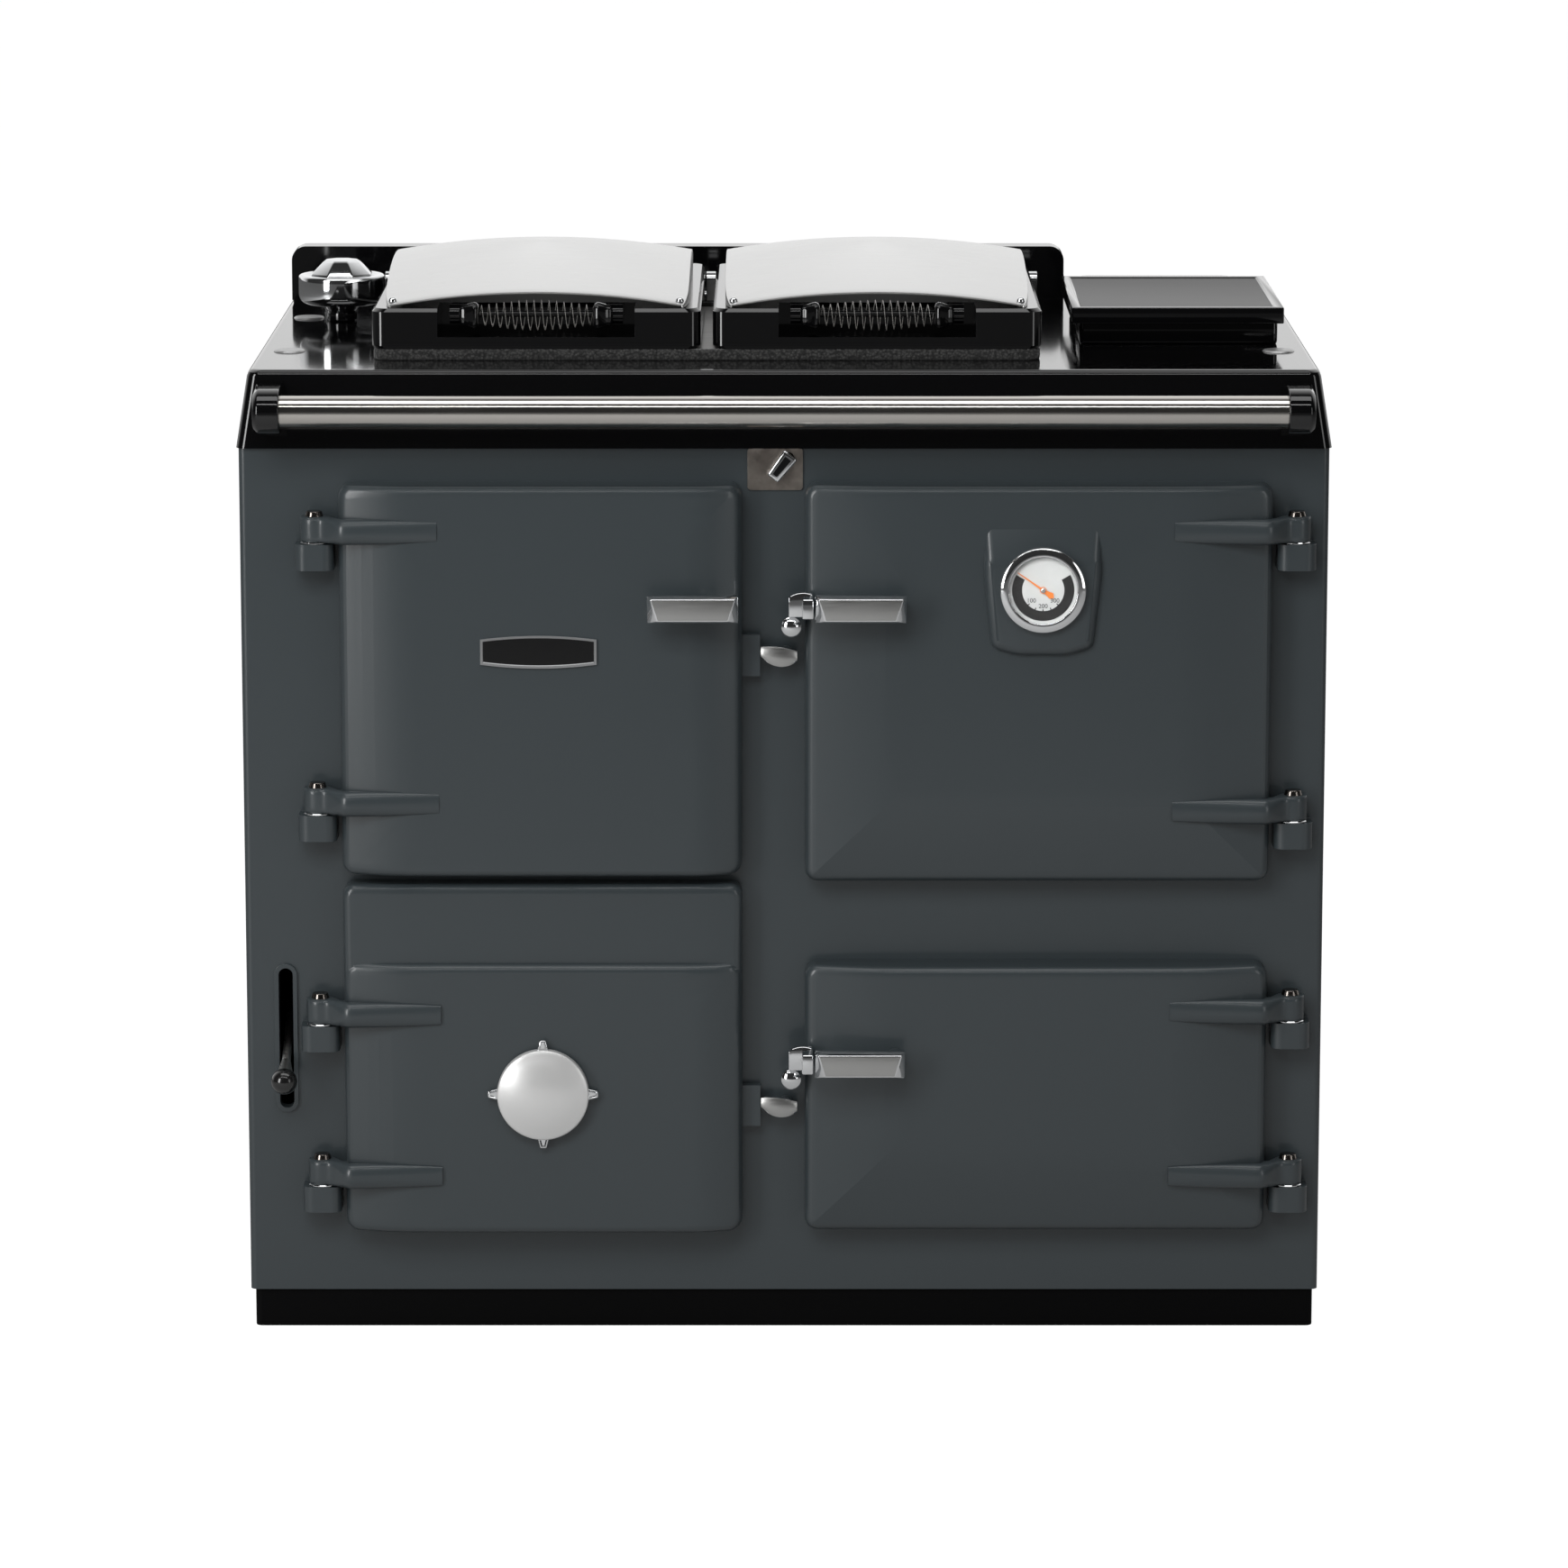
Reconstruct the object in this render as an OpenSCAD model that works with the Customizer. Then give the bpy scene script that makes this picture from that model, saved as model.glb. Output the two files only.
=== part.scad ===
// Cast iron range cooker: a solid-fuel range with a firebox and ashpit on the
// left, two ovens on the right and two insulated lids over one hotplate.
// Millimetres, +Z up. X is the width, seen from the front, and Y runs from the
// front to the back. The origin is on the floor, under the middle of the range.

/* [Overall] */
// Width over the foot of the top plate's apron
range_w = 990; // [980:1:1040]
// Height of the hob above the floor
hob_h = 890; // [880:1:920]
// Depth of the top plate, apron to back edge
hob_d = 603; // [596:1:650]

/* [Top plate] */
// Height of the apron round the top plate
apron_h = 70; // [62:1:74]
// How far the apron leans in from its foot to the hob's edge
apron_lean = 11; // [6:1:14]
// Thickness of the hob
hob_t = 15; // [12:1:20]
// Plan radius of the top plate's corners
hob_corner_r = 10; // [6:1:16]
// Gap between the upstand's end and the flue box
upstand_gap = 17; // [12:1:30]
// Height of the upstand above the hob
upstand_h = 52; // [40:1:60]
// Thickness of the upstand
upstand_t = 30; // [24:1:34]

/* [Body] */
// Height of the plinth
plinth_h = 36; // [30:1:46]
// How far the plinth stands back from the body
plinth_set = 4; // [2:1:12]
// How far the front plate stands behind the apron's foot
front_set = 4; // [2:1:6]
// How far the sides stand inside the apron's foot
side_set = 2; // [1:1:4]
// Thickness of the front plate
front_t = 12; // [10:1:14]
// Thickness of the side panels
side_t = 5; // [4:1:7]
// Thickness of the rear panel
rear_t = 5; // [4:1:7]
// Distance from the rear panel to the top plate's back edge
rear_set = 13; // [10:1:20]

/* [Doors] */
// Gap between the apron and the upper doors
door_top_gap = 30; // [26:1:36]
// Gap between the plinth and the lower doors
door_foot_gap = 62; // [54:1:70]
// Distance from the body's left side to the left doors
left_margin = 91; // [88:1:94]
// Width of the firebox and ashpit doors
left_door_w = 364; // [356:1:368]
// Distance from the body's right side to the oven doors
right_margin = 52; // [50:1:56]
// Width of the post between the left doors and the oven doors
door_post_w = 57; // [55:1:60]
// Height of the firebox door
fire_door_h = 358; // [350:1:366]
// Gap between the firebox door and the ashpit door
door_split = 9; // [6:1:12]
// Height of the ashpit door's upper, thinner band
ash_band_h = 73; // [66:1:80]
// Height of the top oven door
top_oven_door_h = 365; // [356:1:370]
// Gap between the top oven door and the bottom oven door
oven_split = 77; // [68:1:84]
// Thickness of a door at its edge
door_edge_t = 24; // [22:1:26]
// Thickness of a door at its middle
door_crown_t = 38; // [36:1:40]
// Width of an oven door's sloping borders
door_border = 82; // [70:1:84]
// Corner radius of the doors
door_corner_r = 12; // [8:1:16]
// Margin from an oven door's edge to the oven's mouth
oven_margin = 30; // [28:1:36]
// Margin from a left door's edge to the opening behind it
fire_margin = 48; // [44:1:54]

/* [Door hinges] */
// Distance of the pins outside the door's edge
hinge_out = 22; // [21:1:23]
// Distance of the pins in front of the front plate
hinge_front = 16; // [15:1:17]
// Radius of the hinge pins
pin_r = 5; // [4:0.5:6]
// Height of a door's hinge arm
arm_h = 22; // [20:1:24]
// Length of a hinge arm along the door
arm_len = 100; // [90:1:110]
// Width of a fixed hinge lug
lug_w = 35; // [30:1:37]
// Height of a fixed hinge lug
lug_h = 24; // [20:1:28]
// Distance from a door's upper edge to its upper arm
arm_drop = 41; // [38:1:48]
// Distance from the ashpit door's step to its upper arm
ash_arm_drop = 46; // [43:1:52]
// Distance from an upper door's lower edge to its lower arm
arm_rise = 68; // [62:1:72]
// Distance from a lower door's lower edge to its lower arm
arm_rise_low = 55; // [50:1:58]

/* [Handles and catches] */
// Reach of the door handles in front of the apron's foot
handle_reach = 70; // [66:1:76]
// Length of a handle's bar
bar_w = 82; // [76:1:88]
// Height of a handle's bar
bar_h = 25; // [22:1:28]
// Thickness of a handle's bar
bar_t = 13; // [11:1:15]
// Distance from the upper doors' top edge down to their handles
handle_drop = 107; // [100:1:114]
// Distance from the bottom oven door's top edge down to its handle
low_handle_drop = 84; // [78:1:90]
// Radius of an oven door's keeper
keeper_r = 9.5; // [8:0.5:10.5]
// Distance of a keeper outside the oven door's edge
keeper_out = 12.5; // [12:0.5:14]
// Distance from an oven's handle down to the catch beside it
catch_drop = 51; // [51:1:56]

/* [Handrail] */
// Reach of the handrail in front of the apron's foot
rail_reach = 60; // [54:1:66]
// Radius of the handrail
rail_r = 14; // [12:1:15]
// Height of the handrail's axis below the hob
rail_drop = 30; // [27:1:32]
// Distance from the apron's foot to a bracket's outer face
rail_end = 20; // [16:1:26]
// Width of a handrail bracket
bracket_w = 24; // [20:1:28]
// Depth of the handrail's seat in a bracket
rail_seat = 12; // [8:1:16]

/* [Lids and hotplate] */
// Distance from the right lid to the body's right side
lid_right = 258; // [254:1:270]
// Depth of a lid
lid_d = 385; // [380:1:392]
// Gap between the lids
lid_gap = 11; // [9:1:14]
// Distance from the body's left side to the left lid
lid_margin = 117; // [112:1:122]
// Distance from the apron's foot to the lids
lid_set = 80; // [76:1:84]
// Height of a lid's casting
lid_case_h = 37; // [34:1:40]
// Rise of a lid's cover from its front edge to its ridge
cover_rise = 27; // [22:1:30]
// Rise of a lid's cover from its sides to its middle
cover_arch = 12; // [8:1:16]
// Thickness of a lid's cover
cover_t = 2; // [1.5:0.5:3]
// Height of the rope seal round the hotplate
seal_h = 10; // [8:1:12]
// Width of the rope seal round the hotplate
seal_w = 8; // [6:1:10]
// Height of the hotplate above the hob
hotplate_rise = 6; // [4:1:7]
// Depth of the hotplate below the hob
hotplate_sink = 30; // [26:1:32]
// Height of the lids' hinge axis above the hob
lid_pivot_h = 15; // [14:1:18]
// Distance of the lids' hinge axis behind the lids
lid_pivot_back = 9; // [8:1:12]

/* [Coil handles] */
// Radius of the coil at its ends
coil_end_r = 5.6; // [5:0.2:6]
// Radius of the coil at its middle
coil_mid_r = 12.2; // [11:0.2:13]
// Radius of the coil's wire
wire_r = 1.7; // [1.4:0.1:1.9]
// Number of turns in the coil
coil_turns = 15; // [12:1:16]
// Distance between the handle's two brackets
coil_len = 106; // [100:1:112]

/* [Hob fittings] */
// Radius of the thermostat knob
knob_r = 41; // [36:1:43]
// Height of the thermostat knob's rim above the hob
knob_rim_h = 28; // [24:1:32]
// Distance from the body's left side to the thermostat
knob_margin = 70; // [66:1:72]
// Distance from the apron's foot to the thermostat
knob_set = 391; // [380:1:400]
// Radius of the fixing caps on the hob
cap_r = 15; // [10:1:17]
// Width of the flue box
flue_w = 146; // [142:1:150]
// Distance from the body's right side to the flue box
flue_margin = 55; // [52:1:60]
// Height of the flue box above the hob
flue_rise = 22; // [18:1:26]
// Inside radius of the flue outlet
flue_r = 62.5; // [55:0.5:64]
// Height of the flue outlet's axis below the hob
flue_drop = 145; // [142:1:160]

/* [Ovens and fire] */
// Depth of the ovens behind the front plate
oven_depth = 440; // [420:1:442]
// Thickness of the ovens' walls
oven_wall = 8; // [6:1:9]
// Depth of the firebox behind the front plate
fire_depth = 404; // [390:1:410]
// Thickness of the firebox's walls
fire_wall = 10; // [8:1:12]
// Thickness of the firebricks
brick_t = 30; // [24:1:34]
// Distance from the firebox door's foot down to the grate
grate_drop = 82; // [76:1:88]
// Number of grate bars
grate_bars_n = 9; // [7:1:11]
// Number of bars in an oven shelf
shelf_bars = 9; // [7:1:13]

/* [Thermometer and air control] */
// Radius of the thermometer's bezel
gauge_r = 39; // [36:1:42]
// Distance from the top oven door's top edge down to the thermometer
gauge_drop = 92; // [86:1:98]
// Radius of the air control wheel
wheel_r = 42; // [38:1:46]
// Height of the air control wheel above the middle of the ashpit door's prouder part
wheel_rise = 7; // [0:1:14]
// Distance from the grate down to the riddling slot's foot
slot_drop = 141; // [135:1:150]
// Length of the riddling slot
slot_h = 131; // [124:1:138]
// Width of the riddling slot
slot_w = 13; // [12:0.5:15]
// Width of the damper's index plate
index_w = 50; // [44:1:52]

/* [Hidden] */
$fn = 64;

body_blue = [0.23, 0.25, 0.27];
enamel_black = [0.03, 0.03, 0.035];
chrome = [0.78, 0.79, 0.80];
steel = [0.62, 0.62, 0.61];
iron = [0.20, 0.19, 0.19];
brick = [0.72, 0.62, 0.48];
rope_grey = [0.45, 0.45, 0.43];

fit = 0.05;         // radial clearance of a pin or shaft in its hole
run = 0.3;          // gap between faces that move past each other
door_gap = 0.5;     // gap between a closed door and the front plate
eps = 1;            // how far a cutter runs past the face that it opens

front_reach = max(rail_reach, handle_reach);
front_y = front_reach - (hob_d + front_reach) / 2;
body_w = range_w - 2 * side_set;
apron_z = hob_h - apron_h;
plate_back = front_set + front_t;
door_back = front_set - door_gap;
left_x = -body_w / 2 + left_margin;
right_x = left_x + left_door_w + door_post_w;
right_door_w = body_w / 2 - right_margin - right_x;
lid_w = (body_w - lid_margin - lid_gap - lid_right) / 2;
upper_top = apron_z - door_top_gap;
lower_foot = plinth_h + door_foot_gap;
fire_foot = upper_top - fire_door_h;
ash_door_h = fire_foot - door_split - lower_foot;
ash_step_h = ash_door_h - ash_band_h;  // the height of its lower, prouder part
top_oven_foot = upper_top - top_oven_door_h;
low_oven_door_h = top_oven_foot - oven_split - lower_foot;
handle_z = upper_top - handle_drop;
low_handle_z = lower_foot + low_oven_door_h - low_handle_drop;
fire_catch_z = handle_z - catch_drop;
ash_catch_z = low_handle_z - catch_drop;
gauge_z = upper_top - gauge_drop;
wheel_z = lower_foot + ash_step_h / 2 + wheel_rise;
grate_z = fire_foot - grate_drop;
slot_z = grate_z - slot_drop;
pin_y = front_set - hinge_front;
pin_out = hinge_front - door_gap;
left_pin_x = left_x - hinge_out;
right_pin_x = right_x + right_door_w + hinge_out;

// Every piece is drawn with the apron's foot on y = 0, then set back to centre.
module at_front() translate([0, front_y, 0]) children();

// A door's own frame: x across, y up, z out towards the cook.
module on_door(x, foot) at_front() translate([x, door_back, foot]) rotate([90, 0, 0]) children();

module rounded(w, h, r) {
    translate([r, 0]) square([w - 2 * r, h]);
    translate([0, r]) square([w, h - 2 * r]);
    for (x = [r, w - r], y = [r, h - r]) translate([x, y]) circle(r);
}

module rounded_block(size, r) linear_extrude(size[2]) rounded(size[0], size[1], r);

module ring_block(size, r, wall) difference() {
    rounded_block(size, r);
    translate([wall, wall, -eps])
        rounded_block([size[0] - 2 * wall, size[1] - 2 * wall, size[2] + 2 * eps], max(r - wall, 1));
}

// ---- Body -------------------------------------------------------------------

plinth_wall = 25;
deck_t = 6;
plinth_back = hob_d - 8;
module plinth() color(enamel_black) at_front() difference() {
    plinth_w = body_w - 2 * plinth_set;
    plinth_front = front_set + plinth_set;
    translate([-plinth_w / 2, plinth_front, 0])
        rounded_block([plinth_w, plinth_back - plinth_front, plinth_h], 6);
    translate([-plinth_w / 2 + plinth_wall, plinth_front + plinth_wall, -eps])
        rounded_block([plinth_w - 2 * plinth_wall, plinth_back - plinth_front - 2 * plinth_wall,
            plinth_h - deck_t + eps], 6);
}

front_edge_r = 6;
lug_r = 10;
lug_reach = hinge_front + 12;
riddle_x = -body_w / 2 + 36.5;
slot_rim = 4;
slot_rim_t = 3;
damper_x = right_x - 15;               // the damper's spindle, on the post between the doors
damper_z = apron_z - 9;
spindle_r = 5;
washer_t = 2;
fire_mouth_w = left_door_w - 2 * fire_margin;
oven_mouth_w = right_door_w - 2 * oven_margin;
fire_mouth_z = fire_foot + fire_margin;
fire_mouth_h = fire_door_h - 2 * fire_margin;
ash_mouth_z = lower_foot + fire_margin;
ash_mouth_h = ash_step_h - fire_margin - 30;
top_oven_z = top_oven_foot + oven_margin;
top_oven_h = top_oven_door_h - 2 * oven_margin;
low_oven_z = lower_foot + oven_margin;
low_oven_h = low_oven_door_h - 2 * oven_margin;
mouth_r = 10;

// Heights of the hinge arms, as [pin's x, arm's z].
hinges = [
    [left_pin_x, upper_top - arm_drop], [left_pin_x, fire_foot + arm_rise],
    [left_pin_x, lower_foot + ash_step_h - ash_arm_drop], [left_pin_x, lower_foot + arm_rise_low],
    [right_pin_x, upper_top - arm_drop], [right_pin_x, top_oven_foot + arm_rise],
    [right_pin_x, lower_foot + low_oven_door_h - arm_drop], [right_pin_x, lower_foot + arm_rise_low]];
arm_seat = arm_h / 2 + run;            // from an arm's middle to its washer
lug_top = arm_seat + washer_t;         // from an arm's middle down to its lug

module mouth(x, z, w, h) translate([x, plate_back + eps, z]) rotate([90, 0, 0])
    rounded_block([w, h, front_t + 2 * eps], mouth_r);

module hinge_lug() translate([-lug_w / 2, -lug_reach + front_set, -lug_h])
    linear_extrude(lug_h) {
        rounded(lug_w, lug_reach, lug_r);
        translate([0, lug_r]) square([lug_w, lug_reach - lug_r + eps]);
    }

catch_x = right_x - 17;
catch_boss_r = 7;
catch_boss = 11;
tongue_gap = 0.7;
catch_nose = 23;

module slot_outline(grow) {
    translate([-slot_w / 2 - grow, slot_w / 2]) square([slot_w + 2 * grow, slot_h - slot_w]);
    for (y = [slot_w / 2, slot_h - slot_w / 2]) translate([0, y]) circle(slot_w / 2 + grow);
}

module front_plate() color(body_blue) at_front() difference() {
    union() {
        translate([0, 0, plinth_h]) linear_extrude(apron_z - plinth_h) {
            translate([-body_w / 2, front_set + front_edge_r])
                square([body_w, front_t - front_edge_r]);
            translate([-body_w / 2 + front_edge_r, front_set])
                square([body_w - 2 * front_edge_r, front_t]);
            for (x = [-1, 1]) translate([x * (body_w / 2 - front_edge_r), front_set + front_edge_r])
                circle(front_edge_r);
        }
        for (h = hinges) translate([h[0], 0, h[1] - lug_top]) hinge_lug();
        for (z = [fire_catch_z, ash_catch_z]) translate([catch_x, front_set, z])
            rotate([90, 0, 0]) cylinder(r = catch_boss_r, h = catch_boss);
        translate([riddle_x, front_set, slot_z]) rotate([90, 0, 0])
            linear_extrude(slot_rim_t) slot_outline(slot_rim);
    }
    mouth(left_x + fire_margin, fire_mouth_z, fire_mouth_w, fire_mouth_h);
    mouth(left_x + fire_margin, ash_mouth_z, fire_mouth_w, ash_mouth_h);
    mouth(right_x + oven_margin, top_oven_z, oven_mouth_w, top_oven_h);
    mouth(right_x + oven_margin, low_oven_z, oven_mouth_w, low_oven_h);
    for (h = hinges) translate([h[0], pin_y, h[1] - lug_top - lug_h - eps])
        cylinder(r = pin_r + fit, h = lug_h + 2 * eps);
    for (z = [fire_catch_z, ash_catch_z]) translate([catch_x, plate_back + eps, z])
        rotate([90, 0, 0]) cylinder(r = catch_stud_r + fit, h = front_t + catch_boss + 2 * eps);
    translate([damper_x, plate_back + eps, damper_z]) rotate([90, 0, 0])
        cylinder(r = spindle_r + fit, h = front_t + 2 * eps);
    translate([riddle_x, plate_back + eps, slot_z]) rotate([90, 0, 0])
        linear_extrude(front_t + slot_rim_t + 2 * eps) slot_outline(0);
}

rear_y = hob_d - rear_set - rear_t;
swage_n = 3;
swage_h = 24;
swage_t = 3;
swage_in = 60;
module side_panels() color(body_blue) at_front() for (x = [-1, 1])
    translate([x * (body_w / 2 - side_t / 2) - side_t / 2, plate_back, plinth_h])
        cube([side_t, rear_y - plate_back, apron_z - plinth_h]);

module rear_panel() color(iron) at_front() difference() {
    swage_pitch = (hob_h - flue_drop - flue_r - flue_wall - plinth_h) / (swage_n + 1);
    union() {
        translate([-body_w / 2, rear_y, plinth_h]) cube([body_w, rear_t, apron_z - plinth_h]);
        for (i = [1 : swage_n]) translate([-body_w / 2 + swage_in, rear_y + rear_t - eps,
            plinth_h + i * swage_pitch]) cube([body_w - 2 * swage_in, swage_t + eps, swage_h]);
    }
    translate([flue_x, rear_y - eps, hob_h - flue_drop]) rotate([-90, 0, 0])
        cylinder(r = flue_r + flue_wall + 1, h = rear_t + 2 * eps);
}

// ---- Top plate --------------------------------------------------------------

rim_round = 6;
apron_wall = 10;
flue_wall = 7;
flue_x = body_w / 2 - flue_margin - flue_w / 2;
upstand_w = flue_x - flue_w / 2 - upstand_gap + range_w / 2 - apron_lean;
flue_front = 205;
chamber_front = plate_back + oven_depth + 10;
flue_back = rear_y - 1;
flue_gap = 0.5;
left_lid_x = -body_w / 2 + lid_margin;
right_lid_x = left_lid_x + lid_w + lid_gap;
seal_in = 1;                          // the seal's outer face, inside the lids' sides
plate_x = left_lid_x + seal_in + seal_w;
plate_y = lid_set + seal_in + seal_w;
plate_w = 2 * lid_w + lid_gap - 2 * (seal_in + seal_w);
plate_d = lid_d - 2 * (seal_in + seal_w);
plate_lip = 8;
thermostat_x = -body_w / 2 + knob_margin;
collar_bore = 6;
seal_r = 14;

module apron_slice(inset, z) translate([-range_w / 2 + inset, inset, z])
    rounded_block([range_w - 2 * inset, hob_d - inset, 0.02], hob_corner_r);

module apron_outline() hull() {
    apron_slice(0, apron_z);
    apron_slice(1, apron_z + 6);
    apron_slice(apron_lean - 1.2, hob_h - rim_round);
    apron_slice(apron_lean, hob_h - 2.5);
    apron_slice(apron_lean + 2, hob_h - 0.7);
    apron_slice(apron_lean + 5, hob_h - 0.02);
}

upstand_r = 14;
module upstand() translate([-range_w / 2 + apron_lean, hob_d - 2, hob_h - eps]) rotate([90, 0, 0])
    linear_extrude(upstand_t) {
        square([upstand_w, upstand_h + eps - upstand_r]);
        translate([upstand_r, 0]) square([upstand_w - 2 * upstand_r, upstand_h + eps]);
        for (x = [upstand_r, upstand_w - upstand_r]) translate([x, upstand_h + eps - upstand_r])
            circle(upstand_r);
    }

module top_plate() color(enamel_black) at_front() difference() {
    inner_w = range_w - 2 * (apron_lean + apron_wall);
    union() {
        apron_outline();
        upstand();
    }
    translate([-inner_w / 2, plate_back, apron_z - eps])
        cube([inner_w, hob_d - plate_back - apron_wall, apron_h - hob_t + eps]);
    translate([plate_x + plate_lip - 1, plate_y + plate_lip - 1, hob_h - hob_t - eps])
        rounded_block([plate_w - 2 * plate_lip + 2, plate_d - 2 * plate_lip + 2, hob_t + 2 * eps], 9);
    translate([flue_x - flue_w / 2 - flue_gap, chamber_front - flue_gap, apron_z])
        cube([flue_w + 2 * flue_gap, flue_back - chamber_front + 2 * flue_gap, apron_h + eps]);
    translate([thermostat_x, knob_set, hob_h - hob_t - eps])
        cylinder(r = collar_bore + 2, h = hob_t + 2 * eps);
}

module hotplate() color(steel) at_front() {
    translate([plate_x, plate_y, hob_h]) rounded_block([plate_w, plate_d, hotplate_rise], 8);
    translate([plate_x + plate_lip, plate_y + plate_lip, hob_h - hotplate_sink])
        rounded_block([plate_w - 2 * plate_lip, plate_d - 2 * plate_lip, hotplate_sink + 0.5], 8);
}

module hotplate_seal() color(rope_grey) at_front()
    translate([plate_x - seal_w, plate_y - seal_w, hob_h])
        ring_block([plate_w + 2 * seal_w, plate_d + 2 * seal_w, seal_h], seal_r, seal_w);

cap_t = 1.6;
cap_edge = 37;
cap_front = 150;
cap_rear = 412;
module fixing_caps() color(chrome) at_front()
    for (x = [-1, 1], y = [cap_front, cap_rear])
        translate([x * (body_w / 2 - cap_edge), y, hob_h])
        cylinder(r1 = cap_r, r2 = cap_r - 1.5, h = cap_t);

flue_len = hob_d - flue_back;
chamber_foot = hob_h - flue_drop - flue_r - 18;
sweep_len = 221;                       // the sweeping hole beneath the flue's cover
module flue_box() color(iron) at_front() difference() {
    x0 = flue_x - flue_w / 2;
    union() {
        translate([x0, flue_front, hob_h]) rounded_block([flue_w, flue_back - flue_front, flue_rise], 8);
        translate([x0, chamber_front, chamber_foot])
            cube([flue_w, flue_back - chamber_front, hob_h - chamber_foot + 8]);
        translate([flue_x, flue_back - eps, hob_h - flue_drop]) rotate([-90, 0, 0])
            cylinder(r = flue_r + flue_wall, h = flue_len + eps);
    }
    translate([x0 + flue_wall, flue_front + flue_wall, hob_h - eps])
        cube([flue_w - 2 * flue_wall, sweep_len, flue_rise + 2 * eps]);
    translate([x0 + flue_wall, flue_front + flue_wall, hob_h - eps])
        cube([flue_w - 2 * flue_wall, flue_back - flue_front - 2 * flue_wall, flue_rise - flue_wall + eps]);
    translate([x0 + flue_wall, chamber_front + flue_wall, chamber_foot + flue_wall])
        cube([flue_w - 2 * flue_wall, flue_back - chamber_front - 2 * flue_wall, hob_h - chamber_foot]);
    translate([flue_x, flue_back - flue_wall - eps, hob_h - flue_drop]) rotate([-90, 0, 0])
        cylinder(r = flue_r, h = flue_wall + flue_len + 2 * eps);
}

cover_w = 196;
cover_front = 179;
cover_d = 266;
flue_cover_t = 15;
panel_rim = 12;
module flue_cover() color(enamel_black) at_front() difference() {
    translate([flue_x - cover_w / 2, cover_front, hob_h + flue_rise]) hull() {
        translate([0, 0, 2]) rounded_block([cover_w, cover_d, flue_cover_t - 5], 6);
        translate([3, 3, 0]) rounded_block([cover_w - 6, cover_d - 6, flue_cover_t], 5);
    }
    translate([flue_x - cover_w / 2 + panel_rim, cover_front + panel_rim,
        hob_h + flue_rise + flue_cover_t - 4])
        rounded_block([cover_w - 2 * panel_rim, cover_d - 2 * panel_rim, 4 + eps], 3);
}

// ---- Handrail ---------------------------------------------------------------

rail_y = rail_r - rail_reach;
rail_z = hob_h - rail_drop;
bracket_out = range_w / 2 - rail_end;
bracket_r = rail_r + 6;
rail_wall = 2;
seat_gap = 0.03;
foot_in = min(1, 6 * (apron_lean - 1.2) / (apron_h - rim_round));

module handrail() color(chrome) at_front() {
    half = bracket_out - bracket_w + rail_seat;
    translate([-half, rail_y, rail_z]) rotate([0, 90, 0]) difference() {
        cylinder(r = rail_r, h = 2 * half);
        translate([0, 0, -eps]) cylinder(r = rail_r - rail_wall, h = 2 * (half + eps));
    }
}

module handrail_brackets() color(enamel_black) at_front() for (side = [0, 1]) mirror([side, 0, 0])
    difference() {
        hull() {
            translate([bracket_out - bracket_w, rail_y, rail_z]) rotate([0, 90, 0])
                cylinder(r = bracket_r, h = bracket_w - 4, $fn = 32);
            translate([bracket_out - 4, rail_y, rail_z]) rotate([0, 90, 0])
                cylinder(r1 = bracket_r, r2 = bracket_r - 4, h = 4, $fn = 32);
            translate([bracket_out - bracket_w, 0, rail_z - bracket_r])
                cube([bracket_w, apron_lean + 4, 2 * bracket_r]);
        }
        translate([bracket_out - bracket_w - eps, rail_y, rail_z]) rotate([0, 90, 0])
            cylinder(r = rail_r + fit, h = rail_seat + eps);
        translate([bracket_out - bracket_w - eps, 0, 0]) rotate([90, 0, 90])
            linear_extrude(bracket_w + 2 * eps) translate([-seat_gap, 0]) polygon([[0, apron_z],
                [foot_in, apron_z + 6], [apron_lean - 1.2, hob_h - rim_round], [apron_lean, hob_h],
                [60, hob_h], [60, apron_z]]);
    }

// ---- Hinges, keepers and catches ---------------------------------------------

head_r = 8.5;
head_t = 5;
washer_r = 11;
module door_hinge_pins() color(chrome) at_front() for (h = hinges) translate([h[0], pin_y, h[1]]) {
    translate([0, 0, -lug_top - lug_h]) cylinder(r = pin_r, h = lug_top + lug_h + arm_seat + eps);
    translate([0, 0, arm_seat]) cylinder(r1 = head_r, r2 = head_r - 1.5, h = head_t);
    translate([0, 0, -lug_top]) cylinder(r = washer_r, h = washer_t);
}

keeper_x = right_x - keeper_out;
keeper_stem = 24;
keeper_len = 16;
claw_clear = run;
function keeper_z(bar_z) = bar_z - 11 - keeper_r - claw_clear;
module oven_keepers() color(chrome) at_front() for (z = [handle_z, low_handle_z])
    translate([keeper_x, front_set, keeper_z(z)]) rotate([90, 0, 0]) rotate_extrude() {
        square([5, keeper_stem + eps]);
        translate([0, keeper_stem]) square([keeper_r, keeper_len - 4]);
        translate([0, keeper_stem + keeper_len - 4]) intersection() {
            square([keeper_r, 4]);
            translate([0, 4 - keeper_r * 1.4]) circle(keeper_r * 1.4);
        }
    }

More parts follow.
